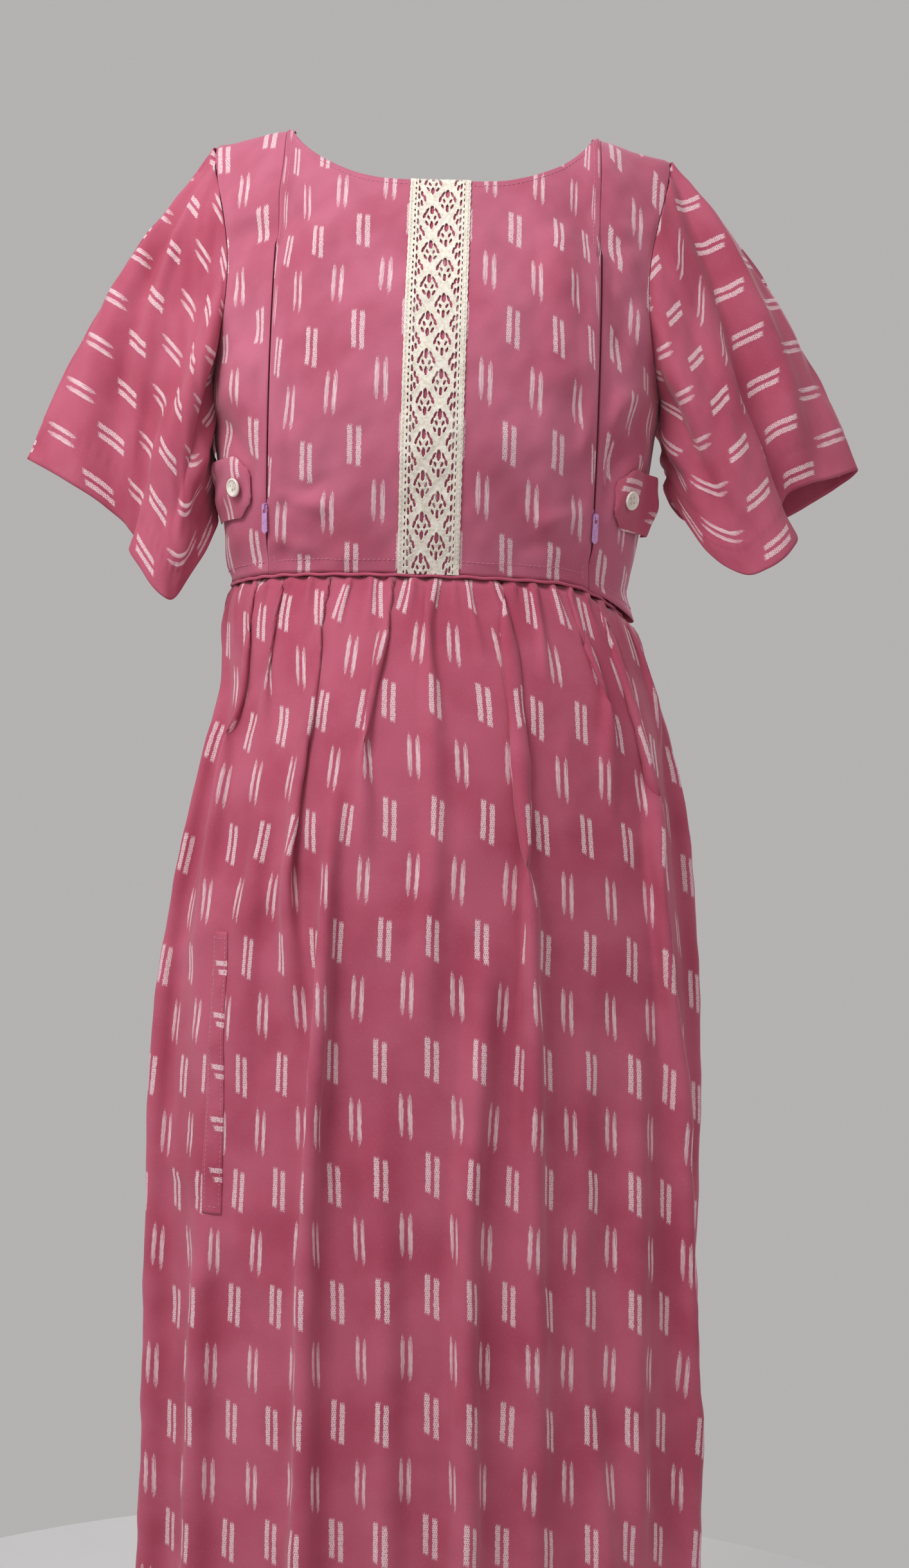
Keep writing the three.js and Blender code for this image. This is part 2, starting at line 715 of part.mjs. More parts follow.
function sliderShape() {
  const plateLift = coilThick / 2 + runClear;
  const y = -tapeLift;
  const front = box(sliderWidth, sliderPlate, sliderLength, 0, y - plateLift - sliderPlate / 2, 0);
  const rear = box(sliderWidth, sliderPlate, sliderLength, 0, y + plateLift + sliderPlate / 2, 0);
  const postZ = (sliderLength - sliderPostLength) / 2;
  const post = box(sliderPost, 2 * plateLift + 0.4, sliderPostLength, 0, y, postZ);
  const bridgeRoot = y - plateLift - sliderPlate / 2;
  const bridgeTop = -pullStand - bridgeHoleRadius - 0.9;
  const bridgeMid = (bridgeRoot + bridgeTop) / 2;
  const bridge = box(bridgeWidth, bridgeRoot - bridgeTop, bridgeLength, 0, bridgeMid, 0);
  const hole = new THREE.CylinderGeometry(bridgeHoleRadius, bridgeHoleRadius, 9, 12);
  hole.rotateZ(Math.PI / 2).translate(0, -pullStand, 0);
  return cut(join(front, rear, post, bridge), hole);
}

function pullShape() {
  const wide = bridgeWidth + 2 * runClear + 2 * pullArm;
  const outline = new THREE.Shape();
  const half = wide / 2;
  outline.moveTo(-half, pullArm);
  outline.lineTo(-half, -pullForkDepth);
  outline.lineTo(-half * 1.1, -pullLength + half);
  outline.quadraticCurveTo(0, -pullLength - half, half * 1.1, -pullLength + half);
  outline.lineTo(half, -pullForkDepth);
  outline.lineTo(half, pullArm);
  const plate = new THREE.ExtrudeGeometry(outline, {
    depth: pullThick,
    bevelEnabled: false,
    curveSegments: 8,
  });
  plate.rotateX(Math.PI / 2).translate(0, -pullStand + pullThick / 2, 0);
  const forkWidth = bridgeWidth + 2 * runClear;
  const fork = box(forkWidth, 3 * pullThick, pullForkDepth + 3 * pullArm, 0, -pullStand, 0);
  fork.translate(0, 0, (3 * pullArm - pullForkDepth) / 2);
  const pin = new THREE.CylinderGeometry(pullPinRadius, pullPinRadius, wide - 0.4, 10);
  pin.rotateZ(Math.PI / 2).translate(0, -pullStand, 0);
  return join(cut(plate, fork), pin);
}

function addZips() {
  const tapeFrom = coilPart / 2 + coilWidth + runClear;
  const tail = tapeTail / zipRadius;
  const half = zipHalfAngle;
  const low = tapeLift - tapeThick / 2;
  const high = tapeLift + tapeThick / 2;
  const coilLow = tapeLift - coilThick / 2;
  const coilHigh = tapeLift + coilThick / 2;
  const gap = runClear / zipRadius;
  for (const [name, side] of [['left', -1], ['right', 1]]) {
    for (const [edge, way] of [['inner', -1], ['outer', 1]]) {
      const tapeD = [way * tapeFrom, way * (tapeFrom + tapeWidth)].sort((a, b) => a - b);
      const tape = zipBar(side, ...tapeD, low, high, -half - tail, half + tail);
      add(`zip_tape_${edge}_${name}`, tape, zipThread);
      const coilD = [(way * coilPart) / 2, way * (coilPart / 2 + coilWidth)].sort((a, b) => a - b);
      const coil = zipBar(side, ...coilD, coilLow, coilHigh, -half, half);
      add(`zip_coil_${edge}_${name}`, coil, coilNylon);
    }
    const stopHalf = coilPart / 2 + coilWidth;
    const stopTurn = stopLength / zipRadius;
    const bottom = zipStation(side, -half - gap - stopTurn / 2);
    const stop = () => box(2 * stopHalf, coilThick, stopLength, 0, -tapeLift, 0);
    add(`zip_bottom_stop_${name}`, stop(), lilacMetal, bottom);
    const top = zipStation(side, half + gap + stopTurn / 2);
    add(`zip_top_stop_${name}`, stop(), lilacMetal, top);
    const closed = zipStation(side, -half + (sliderLength / 2 + runClear) / zipRadius);
    add(`zip_slider_${name}`, sliderShape(), lilacMetal, closed);
    add(`zip_pull_${name}`, pullShape(), lilacMetal, closed);
  }
}

addBodice();
addNeckFacings();
addLace();
addWaistPiping();
addSkirt();
addPocket();
addBelts();
addTab();
addSleeves();
addZips();

export default gown;
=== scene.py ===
"""The nursing gown's looks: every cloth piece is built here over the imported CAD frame."""
import math
import bpy
import bmesh
import numpy as np
from mathutils import Matrix, Vector


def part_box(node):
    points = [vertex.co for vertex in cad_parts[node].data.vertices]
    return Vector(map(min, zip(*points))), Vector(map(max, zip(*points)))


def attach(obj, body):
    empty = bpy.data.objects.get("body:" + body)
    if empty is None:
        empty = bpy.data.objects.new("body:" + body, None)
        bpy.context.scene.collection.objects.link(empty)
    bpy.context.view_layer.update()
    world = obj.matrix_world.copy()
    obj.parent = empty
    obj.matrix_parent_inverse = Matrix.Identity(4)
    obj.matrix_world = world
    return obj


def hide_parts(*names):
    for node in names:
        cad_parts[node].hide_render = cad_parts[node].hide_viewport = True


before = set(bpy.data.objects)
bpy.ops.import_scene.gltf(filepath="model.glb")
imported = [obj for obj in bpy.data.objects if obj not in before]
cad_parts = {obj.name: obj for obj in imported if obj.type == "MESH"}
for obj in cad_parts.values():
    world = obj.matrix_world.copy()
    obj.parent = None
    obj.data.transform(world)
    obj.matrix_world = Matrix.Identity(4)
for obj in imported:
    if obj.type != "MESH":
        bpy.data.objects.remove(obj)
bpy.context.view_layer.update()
MM = 0.001

# The design's driving sizes, in millimetres, as in the part's source.
NECK_HALF, NECK_FRONT, NECK_BACK = 116.0, 54.0, 22.0
SHOULDER_HALF, SHOULDER_FALL, SHOULDER_EASE = 173.0, 14.0, 80.0
WAIST, WAIST_HALF, WAIST_FRONT, WAIST_BACK = 345.0, 150.0, 90.0, 94.0
SAG_LEFT, SAG_RIGHT = 3.0, 22.0
ARMPIT, ARM_FROM, ARM_WIDEST, ARM_WIDEST_AT = 205.0, 22.5, 29.0, 105.0
SKIRT = 905.0
ZIP_X, ZIP_FRONT, ZIP_R, ZIP_TILT = 118.0, 88.0, 280.0, math.radians(33)
ZIP_TOP, ZIP_END = 108.0, WAIST - 45.0
ZIP_MID = (ZIP_TOP + ZIP_END) / 2
ZIP_AXIS_Y = ZIP_R - ZIP_FRONT
ZIP_FLAT, ZIP_BLEND = 15.0, 34.0
LACE_WIDTH = 44.0

CAMERA_ROLL = 1.83
FLOOR_LEVEL, FLOOR_RADIUS = -1.32, 0.75


def smooth(x, a, b):
    t = np.clip((np.asarray(x, float) - a) / (b - a), 0, 1)
    return t * t * (3 - 2 * t)


def lerp(a, b, t):
    return a + (b - a) * t


def through(stations):
    """A smooth curve through (place, value) stations, as in the part's source."""
    xs, ys = np.array(stations, float).T
    before = np.maximum(np.arange(len(xs)) - 1, 0)
    after = np.minimum(np.arange(len(xs)) + 1, len(xs) - 1)
    slopes = (ys[after] - ys[before]) / (xs[after] - xs[before])

    def at(place):
        place = np.asarray(place, float)
        i = np.clip(np.searchsorted(xs, place, side="left") - 1, 0, len(xs) - 2)
        span = xs[i + 1] - xs[i]
        t = np.clip((place - xs[i]) / span, 0, 1)
        rise = t * t * (3 - 2 * t)
        start = t * (1 - t) ** 2 * span * slopes[i]
        end = t * t * (t - 1) * span * slopes[i + 1]
        return ys[i] + (ys[i + 1] - ys[i]) * rise + start + end

    return at


bodice_half = through([(0, 187), (60, 184), (120, 178), (200, 171), (275, 162), (WAIST, WAIST_HALF)])
skirt_half = through(
    [(0, WAIST_HALF), (90, 178), (210, 195), (330, 207), (486, 211), (749, 208), (SKIRT, 210)]
)


def half_width(level):
    level = np.asarray(level, float)
    return np.where(level < WAIST, bodice_half(level), skirt_half(level - WAIST))


def _depth_over_zip(level):
    forward = math.sqrt(ZIP_R**2 - (level - ZIP_MID) ** 2) - ZIP_AXIS_Y
    return forward / math.sqrt(1 - (ZIP_X / float(bodice_half(level))) ** 2)


_zip_levels = [lerp(ZIP_TOP, ZIP_END, s) for s in (0, 0.25, 0.5, 0.75, 1)]
bodice_front = through(
    [(0, 0), (2, 22), (4, 41), (40**0.5, 60)]
    + [(lv**0.5, _depth_over_zip(lv)) for lv in _zip_levels]
    + [(WAIST**0.5, WAIST_FRONT)]
)
bodice_back = through(
    [(0, 0), (2, 22), (4, 43), (40**0.5, 66), (80**0.5, 88), (150**0.5, 102), (220**0.5, 104)]
    + [(WAIST**0.5, WAIST_BACK)]
)
skirt_front = through([(0, WAIST_FRONT), (90, 118), (210, 138), (330, 148), (486, 152), (SKIRT, 154)])
skirt_back = through([(0, WAIST_BACK), (90, 112), (210, 128), (330, 138), (486, 144), (SKIRT, 150)])


def depth(front, root):
    below = root**2 - WAIST
    upper = np.where(front, bodice_front(root), bodice_back(root))
    lower = np.where(front, skirt_front(below), skirt_back(below))
    return np.where(below < 0, upper, lower)


def waist_sag(turn):
    return np.where(turn > 0, SAG_RIGHT, SAG_LEFT) * smooth(np.abs(turn), 0.66, 1.5)


def body_point(front, root, turn):
    """The gown's middle surface in mm, for a face, the root of a level and a turn."""
    root, turn = np.broadcast_arrays(np.asarray(root, float), np.asarray(turn, float))
    level = root**2
    x = half_width(level) * np.sin(turn)
    outside = np.maximum(np.abs(x) - NECK_HALF, 0)
    slope = SHOULDER_FALL * outside / (SHOULDER_HALF - NECK_HALF)
    z = -level - slope * (1 - smooth(level, 0, SHOULDER_EASE))
    y = depth(front, root) * np.cos(turn)
    if not front:
        return np.stack([x, y, z], -1)
    beside = np.abs(x) - ZIP_X
    near = 1 - smooth(np.abs(beside), ZIP_FLAT, ZIP_FLAT + ZIP_BLEND)
    near = near * smooth(level, ZIP_TOP - 30, ZIP_TOP - 10)
    near = near * (1 - smooth(level, ZIP_END + 12, WAIST - 5))
    radius = ZIP_R - beside * math.tan(ZIP_TILT)
    rise = np.clip(-z - ZIP_MID, -0.9 * radius, 0.9 * radius)
    zip_y = ZIP_AXIS_Y - np.sqrt(radius**2 - rise**2)
    return np.stack([x, lerp(-y, zip_y, near), z], -1)


def turn_at(x, level):
    return np.arcsin(np.clip(x / half_width(level), -1, 1))


def edge_turn(level):
    level = np.asarray(level, float)
    back = lerp(ARM_FROM, ARM_WIDEST, smooth(level, 0, ARM_WIDEST_AT))
    share = np.clip((level - ARM_WIDEST_AT) / (ARMPIT - ARM_WIDEST_AT), 0, 1)
    back = np.where(level > ARM_WIDEST_AT, ARM_WIDEST * np.sqrt(1 - share**2), back)
    return np.where(level >= ARMPIT, math.pi / 2, math.pi / 2 - np.radians(back))


def neck_level(x, deep, half_span):
    share = np.minimum(np.abs(x) / half_span, 1)
    return deep * (1 - share**3) ** 0.8


# ---------------------------------------------------------------- mesh helpers
def normals_of(points, ringed=False):
    """Unit normals of a grid of points, outward where columns run towards +X over the front."""
    down = np.gradient(points, axis=0)
    if ringed:
        across = np.roll(points, -1, 1) - np.roll(points, 1, 1)
    else:
        across = np.gradient(points, axis=1)
    n = np.cross(down, across)
    return n / np.maximum(np.linalg.norm(n, axis=-1, keepdims=True), 1e-9)


def flat_map(points, middle, anchor, ringed=False):
    """Flat cloth coordinates in metres: u across from the middle column, v up from the anchor row."""
    across = np.linalg.norm(np.diff(points, axis=1), axis=-1)
    u = np.concatenate([np.zeros((len(points), 1)), np.cumsum(across, 1)], 1)
    u = u - u[:, middle][:, None]
    down = np.linalg.norm(np.diff(points, axis=0), axis=-1)
    v = np.concatenate([np.zeros((1, points.shape[1])), np.cumsum(down, 0)], 0)
    v = v - v[anchor][None, :]
    return np.stack([u, -v], -1) * MM


def edit_mesh(mesh, *steps):
    """Passes a mesh through steps that each take a bmesh."""
    bm = bmesh.new()
    bm.from_mesh(mesh)
    for step in steps:
        step(bm)
    bm.to_mesh(mesh)
    bm.free()


def merge_close(bm):
    bmesh.ops.remove_doubles(bm, verts=bm.verts, dist=1e-6)


def face_outward(bm):
    bmesh.ops.recalc_face_normals(bm, faces=bm.faces)


def drop_loose(bm):
    bmesh.ops.delete(bm, geom=[v for v in bm.verts if not v.link_faces], context="VERTS")


def soften_rims(bm):
    rim = [v for v in bm.verts if v.is_boundary]
    axes = {"use_axis_x": True, "use_axis_y": True, "use_axis_z": True}
    for _ in range(2):
        bmesh.ops.smooth_vert(bm, verts=rim, factor=0.5, **axes)


def add_object(name, mesh, material):
    mesh.materials.append(material)
    mesh.polygons.foreach_set("use_smooth", np.ones(len(mesh.polygons), bool))
    obj = bpy.data.objects.new(name, mesh)
    bpy.context.scene.collection.objects.link(obj)
    return obj


def grid_object(name, points, uv, material, thick=0.5, ringed=False, holes=None):
    """A smooth sheet of cloth from a grid of points in mm, thickened evenly about its middle."""
    rows, cols = points.shape[:2]
    if ringed:
        points = np.concatenate([points, points[:, :1]], 1)
        rows, cols = points.shape[:2]
    index = np.arange(rows * cols).reshape(rows, cols)
    quads = np.stack([index[:-1, :-1], index[1:, :-1], index[1:, 1:], index[:-1, 1:]], -1)
    keep = np.ones(quads.shape[:2], bool) if holes is None else ~holes
    quads = quads[keep]
    mesh = bpy.data.meshes.new(name)
    mesh.from_pydata((points.reshape(-1, 3) * MM).tolist(), [], quads.tolist())
    layer = mesh.uv_layers.new(name="Flat")
    loops = np.empty(len(mesh.loops), np.int32)
    mesh.loops.foreach_get("vertex_index", loops)
    layer.data.foreach_set("uv", uv.reshape(-1, 2)[loops].astype(np.float32).ravel())
    if ringed:
        edit_mesh(mesh, merge_close, drop_loose)
    obj = add_object(name, mesh, material)
    mod = obj.modifiers.new("cloth", "SOLIDIFY")
    mod.thickness = thick * MM
    mod.offset = 0
    mod.use_even_offset = False
    return obj


def object_from(name, verts, faces, material):
    mesh = bpy.data.meshes.new(name)
    mesh.from_pydata([tuple(v) for v in np.asarray(verts) * MM], [], [tuple(f) for f in faces])
    return add_object(name, mesh, material)


def stitches(name, lines, material, length=2.6, gap=1.0, radius=0.22):
    """Rows of short raised threads along polylines of (point, normal) arrays in mm."""
    verts, faces = [], []
    ring = [(math.cos(a), math.sin(a)) for a in np.linspace(0, 2 * math.pi, 6)[:-1]]
    for points, normals in lines:
        steps = np.linalg.norm(np.diff(points, axis=0), axis=1)
        run = np.concatenate([[0], np.cumsum(steps)])
        for start in np.arange(0.3, run[-1] - length, length + gap):
            spots = start + length * np.array([0, 0.25, 0.75, 1])
            rise = np.array([-0.6, 0.7, 0.7, -0.6]) * radius
            p = np.stack([np.interp(spots, run, points[:, k]) for k in range(3)], -1)
            n = np.stack([np.interp(spots, run, normals[:, k]) for k in range(3)], -1)
            n /= np.linalg.norm(n, axis=1, keepdims=True)
            along = (p[-1] - p[0]) / max(np.linalg.norm(p[-1] - p[0]), 1e-6)
            base = len(verts)
            for i in range(4):
                side = np.cross(along, n[i])
                size = radius * (0.75 if i in (0, 3) else 1.0)
                centre = p[i] + n[i] * rise[i]
                verts += [centre + size * (c * side + s * n[i]) for c, s in ring]
            for i in range(3):
                for k in range(5):
                    a, b = base + 5 * i + k, base + 5 * i + (k + 1) % 5
                    faces.append((a, b, b + 5, a + 5))
            faces.append(tuple(base + k for k in reversed(range(5))))
            faces.append(tuple(base + 15 + k for k in range(5)))
    return object_from(name, verts, faces, material)


def tube(name, path, radius, material, sides=8, closed=False):
    """A round tube along a path in mm."""
    count = len(path)
    along = np.roll(path, -1, 0) - np.roll(path, 1, 0) if closed else np.gradient(path, axis=0)
    along /= np.linalg.norm(along, axis=1, keepdims=True)
    verts, faces = [], []
    for i in range(count):
        side = np.cross(along[i], [0.0, 0.0, 1.0])
        if np.linalg.norm(side) < 1e-6:
            side = np.cross(along[i], [0.0, 1.0, 0.0])
        side /= np.linalg.norm(side)
        over = np.cross(side, along[i])
        for a in np.linspace(0, 2 * math.pi, sides + 1)[:-1]:
            verts.append(path[i] + radius * (math.cos(a) * side + math.sin(a) * over))
    for i in range(count if closed else count - 1):
        here, ahead = i * sides, (i + 1) % count * sides
        for k in range(sides):
            beside = (k + 1) % sides
            faces.append((here + k, here + beside, ahead + beside, ahead + k))
    if not closed:
        faces.append(tuple(reversed(range(sides))))
        faces.append(tuple((count - 1) * sides + k for k in range(sides)))
    obj = object_from(name, verts, faces, material)
    edit_mesh(obj.data, face_outward)
    return obj


def ripple(x, z, wavelength, height, seed, count=7):
    """Soft irregular waves: a few sines of nearly the same length in seeded directions."""
    rng = np.random.default_rng(seed)
    total = np.zeros(np.broadcast(x, z).shape)
    for _ in range(count):
        turn = rng.uniform(0, math.pi)
        scale = 2 * math.pi / (wavelength * rng.uniform(0.7, 1.4))
        phase = rng.uniform(0, 2 * math.pi)
        total = total + np.sin(scale * (x * math.cos(turn) + z * math.sin(turn)) + phase)
    return height * total / math.sqrt(count)


def crease(x, z, start, end, width, height):
    """A ridge (or a valley, if height is negative) between two points, fading at its ends."""
    ax, az = start
    bx, bz = end
    dx, dz = bx - ax, bz - az
    run = math.hypot(dx, dz)
    t = ((x - ax) * dx + (z - az) * dz) / run**2
    across = ((x - ax) * dz - (z - az) * dx) / run
    fade = smooth(t, -0.12, 0.25) * (1 - smooth(t, 0.7, 1.12))
    return height * fade * np.exp(-((across / width) ** 2))


# ---------------------------------------------------------------- materials
class Wire:
    """A node's output, in ordinary arithmetic with numbers and other outputs."""

    def __init__(self, nodes, socket):
        self.nodes, self.socket = nodes, socket

    def __add__(self, other):
        return self.nodes.math("ADD", self, other)

    def __sub__(self, other):
        return self.nodes.math("SUBTRACT", self, other)

    def __rsub__(self, other):
        return self.nodes.math("SUBTRACT", other, self)

    def __mul__(self, other):
        return self.nodes.math("MULTIPLY", self, other)


class Nodes:
    """Short names for the nodes of a material."""

    def __init__(self, material):
        self.tree = material.node_tree
        self.tree.nodes.clear()

    def new(self, kind, **values):
        node = self.tree.nodes.new(kind)
        for key, value in values.items():
            setattr(node, key, value)
        return node

    def put(self, socket, value):
        if isinstance(value, Wire):
            self.tree.links.new(value.socket, socket)
        else:
            socket.default_value = value

    def feed(self, node, values, output=0):
        for place, value in values.items():
            self.put(node.inputs[place], value)
        return None if output is None else Wire(self, node.outputs[output])

    def math(self, operation, *values):
        return self.feed(self.new("ShaderNodeMath", operation=operation), dict(enumerate(values)))

    def ramp(self, value, low, high, to_low=0.0, to_high=1.0):
        """value mapped smoothly from low..high to to_low..to_high."""
        node = self.new("ShaderNodeMapRange", interpolation_type="SMOOTHSTEP")
        return self.feed(node, dict(enumerate((value, low, high, to_low, to_high))))

    def vector(self, x, y, z=0.0):
        return self.feed(self.new("ShaderNodeCombineXYZ"), {0: x, 1: y, 2: z})

    def noise(self, where, scale, detail=2.0, rough=0.5):
        values = {"Vector": where, "Scale": scale, "Detail": detail, "Roughness": rough}
        return self.feed(self.new("ShaderNodeTexNoise"), values, "Fac")

    def white(self, where):
        node = self.new("ShaderNodeTexWhiteNoise", noise_dimensions="3D")
        return self.feed(node, {"Vector": where}, "Value")

    def mix(self, factor, a, b):
        return self.feed(self.new("ShaderNodeMix", data_type="RGBA"), {0: factor, 6: a, 7: b}, 2)

    def flat(self):
        split = self.new("ShaderNodeSeparateXYZ")
        u = self.feed(split, {0: self.feed(self.new("ShaderNodeUVMap", uv_map="Flat"), {})})
        return u, Wire(self, split.outputs[1])

    def place(self):
        return self.feed(self.new("ShaderNodeTexCoord"), {}, "Object")

    def finish(self, colour, roughness, bump=None, strength=0.3, reach=0.0002, **fixed):
        shader = self.new("ShaderNodeBsdfPrincipled")
        for name, value in fixed.items():
            shader.inputs[name.replace("_", " ")].default_value = value
        values = {"Base Color": colour, "Roughness": roughness}
        if bump is not None:
            raised = {"Strength": strength, "Distance": reach, "Height": bump}
            values["Normal"] = self.feed(self.new("ShaderNodeBump"), raised)
        self.feed(self.new("ShaderNodeOutputMaterial"), {0: self.feed(shader, values)}, None)


def srgb(r, g, b):
    def line(c):
        c /= 255
        return c / 12.92 if c <= 0.04045 else ((c + 0.055) / 1.055) ** 2.4
    return (line(r), line(g), line(b), 1.0)


def new_material(name):
    material = bpy.data.materials.new(name)
    material.use_nodes = True
    return material, Nodes(material)


PINK = srgb(195, 105, 131)
PINK_DEEP = srgb(181, 85, 111)
# Painted shade: the next two tones are the bodice's pink drawn darker and deeper, for the same cloth
# on the skirt, the sleeves, the pocket welt and the right belt.
PINK_SHADED = srgb(189, 91, 116)
PINK_DEEP_SHADED = srgb(174, 71, 97)
WHITE_INK = srgb(238, 212, 217)
PITCH_U, PITCH_V = 0.0372, 0.083  # a column, and a pair of rows, of the print
YARN = 0.00042


def ragged_stroke(n, du, dv, wide, along, threads, side):
    """A worn stroke with pointed ends, broken into threads and beads."""
    reach = 0.0165 - wide * 2.6 + (threads - 0.5) * 0.016
    body = n.ramp(wide, 0.0019, 0.0013) * n.ramp(along, reach, reach - 0.0016)
    beads = n.noise(n.vector(du * 2300.0, dv * 900.0, side * 5.0), 1.0, 1.0)
    worn = n.ramp(along, 0.007, 0.013) * n.ramp(beads, 0.55, 0.45)
    return body * n.ramp(threads, 0.38, 0.5) * (1.0 - worn * 0.85)


def dotted_stroke(n, off, dv, cell, wide, along, threads):
    """A square-ended stroke with a pattern of pink dots in it."""
    edge = (n.noise(cell, 900.0, 1.0) - 0.5) * 0.0011
    reach = (threads - 0.5) * 0.008 + 0.0142
    body = n.ramp(wide + edge, 0.0021, 0.0016) * n.ramp(along, reach, reach - 0.0012)
    row = dv * 640.0
    skew = n.math("FRACT", n.math("FLOOR", row) * 0.5)
    cx = n.math("FRACT", off * 720.0 + (skew + 20.25)) - 0.5
    cy = n.math("FRACT", row) - 0.5
    fleck = n.ramp(n.noise(cell, 700.0, 1.0), 0.35, 0.6, 0.25, 1.0)
    return body * (1.0 - n.ramp(cx * cx + cy * cy * 0.7, 0.12, 0.055) * fleck)


def dash_pair(n, du, dv, cell, ragged):
    """The share of white in one motif: two parallel strokes, the second a little lower."""
    strokes = []
    for side in (-1, 1):
        wobble = n.noise(cell, 260.0, 2.0) - 0.5
        off = du - (wobble * 0.0012 + side * 0.0032)
        wide = n.math("ABSOLUTE", off)
        along = n.math("ABSOLUTE", dv + side * 0.0014)
        threads = n.noise(n.vector(du * 2300.0, dv * 30.0, side * 3.0), 1.0, 2.0, 0.6)
        if ragged:
            strokes.append(ragged_stroke(n, du, dv, wide, along, threads, side))
        else:
            strokes.append(dotted_stroke(n, off, dv, cell, wide, along, threads))
    return n.math("MAXIMUM", *strokes)


def dashes(n, u, v, where, shift):
    """The share of white in the print: columns of dotted pairs with ragged pairs between them."""
    pu = u * (1 / PITCH_U) + (40.0 + shift[0])
    pv = v * (1 / PITCH_V) + (40.0 + shift[1])
    bent = pu + (n.noise(where, 9.0, 1.0) - 0.5) * 0.12
    motifs = []
    for ragged, row, column in ((False, 0.25, 0.0), (True, 0.75, 0.5)):
        cu = bent + column
        jump = n.white(n.vector(n.math("FLOOR", cu), n.math("FLOOR", pv), row))
        du = (n.math("FRACT", cu) - 0.5) * PITCH_U
        dv = (n.math("FRACT", pv) - row - (jump - 0.5) * 0.05) * PITCH_V
        motifs.append(dash_pair(n, du, dv, where, ragged))
    return n.math("MAXIMUM", *motifs) * n.ramp(n.noise(where, 1500.0, 1.0), 0.25, 0.5, 0.66, 0.9)


def cotton(name, base, deep, shift=None, across=False):
    """Plain-weave cotton, with paired white dashes along v (or across it) if shift is given."""
    material, n = new_material(name)
    u, v = n.flat()
    if across:
        u, v = v, u
    where = n.vector(u, v)
    colour = n.mix(n.ramp(n.noise(where, 14.0, 3.0), 0.35, 0.7), base, deep)
    slub = n.noise(n.vector(u * 3.0, v * 0.35), 900.0, 2.0)
    colour = n.mix(n.ramp(slub, 0.5, 0.85, 0.0, 0.09), colour, WHITE_INK)
    if shift:
        colour = n.mix(dashes(n, u, v, where, shift), colour, WHITE_INK)
    turns = 2 * math.pi / YARN
    weave = n.math("SINE", u * turns) + n.math("SINE", v * turns)
    n.finish(
        colour, n.ramp(slub, 0.3, 0.8, 0.78, 0.92), weave * 0.25 + slub * 1.2, 0.35, 0.00012,
        Sheen_Weight=0.18, Sheen_Roughness=0.45, Specular_IOR_Level=0.25,
    )
    return material


def mottled(name, noise, tones, rough, strength=None, reach=None, blend=None, **fixed):
    """A material of two tones mixed by noise, which also gives its gloss and bump."""
    material, n = new_material(name)
    grain = n.noise(n.place(), *noise)
    factor = n.ramp(grain, *blend) if blend else grain
    gloss = n.ramp(grain, *rough) if isinstance(rough, tuple) else rough
    bump = None if strength is None else grain
    n.finish(n.mix(factor, *tones), gloss, bump, strength, reach, **fixed)
    return material


def lace_material():
    material, n = new_material("crochet_lace")
    where = n.place()
    fine = n.noise(where, 1600.0, 2.0)
    twist = n.noise(where, 420.0, 2.0)
    colour = n.mix(n.ramp(twist, 0.3, 0.75), srgb(247, 242, 231), srgb(224, 214, 196))
    n.finish(colour, n.ramp(fine, 0.3, 0.7, 0.8, 0.95), fine + twist, 0.5, 0.0003,
             Sheen_Weight=0.15, Specular_IOR_Level=0.25)
    return material


def coil_material():
    material, n = new_material("zip_coil")
    node = n.new("ShaderNodeTexWave", wave_type="BANDS", bands_direction="Z")
    turns = n.feed(node, {"Vector": n.place(), "Scale": 240.0}, 1)
    n.finish(n.mix(turns, srgb(216, 134, 160), srgb(188, 104, 132)), 0.4, turns, 0.6, 0.0004)
    return material


def thread_material(name, tone):
    tones = (tone, srgb(255, 235, 240))
    return mottled(name, (2200.0, 1.0), tones, 0.6, 0.3, 0.0001, blend=(0.3, 0.7, 0.0, 0.35))


COTTON = cotton("printed_cotton", PINK, PINK_DEEP, (0.0, 0.0))
# The skirt's cloth and the cross-grain cloth take the darker pink, which is painted shade.
COTTON_SKIRT = cotton("printed_cotton_skirt", PINK_SHADED, PINK_DEEP_SHADED, (0.3, 0.35))
COTTON_CROSS = cotton("printed_cotton_cross_grain", PINK_SHADED, PINK_DEEP_SHADED, (0.2, 0.1), across=True)
COTTON_PLAIN = cotton("cotton_inside", srgb(212, 128, 150), srgb(200, 108, 134))
COTTON_EDGE = cotton("cotton_edge", srgb(190, 92, 118), srgb(176, 74, 100))
THREAD = thread_material("pink_thread", srgb(206, 108, 136))
THREAD_PALE = thread_material("pale_thread", srgb(236, 226, 210))
LACE = lace_material()
COIL = coil_material()
PEARL = mottled(
    "pearl", (160.0, 3.0), (srgb(248, 240, 224), srgb(226, 212, 200)), (0.3, 0.7, 0.18, 0.3),
    blend=(0.3, 0.7), Coat_Weight=0.6, Coat_Roughness=0.08, Subsurface_Weight=0.15,
)
LILAC = mottled(
    "lilac_metal", (700.0, 3.0), (srgb(216, 168, 220), srgb(190, 136, 196)), (0.3, 0.7, 0.25, 0.42),
    0.08, 0.0001, blend=(0.35, 0.7), Metallic=0.2, Coat_Weight=0.3, Coat_Roughness=0.2,
)
TAPE = mottled(
    "zip_tape", (1800.0, 1.0), (srgb(212, 128, 154), srgb(198, 108, 136)), 0.75, 0.3, 0.0002
)
NAVY = mottled(
    "navy_ribbon", (2000.0, 1.0), (srgb(26, 32, 72), srgb(44, 52, 100)), (0.2, 0.8, 0.6, 0.8),
    0.4, 0.0002, Sheen_Weight=0.1,
)


# ---------------------------------------------------------------- bodice
def body_normal(front, root, turn):
    step = 1e-3
    down = body_point(front, root + step, turn) - body_point(front, root - step, turn)
    across = body_point(front, root, turn + step) - body_point(front, root, turn - step)
    n = np.cross(down, across)
    n /= np.maximum(np.linalg.norm(n, axis=-1, keepdims=True), 1e-9)
    return n if front else -n


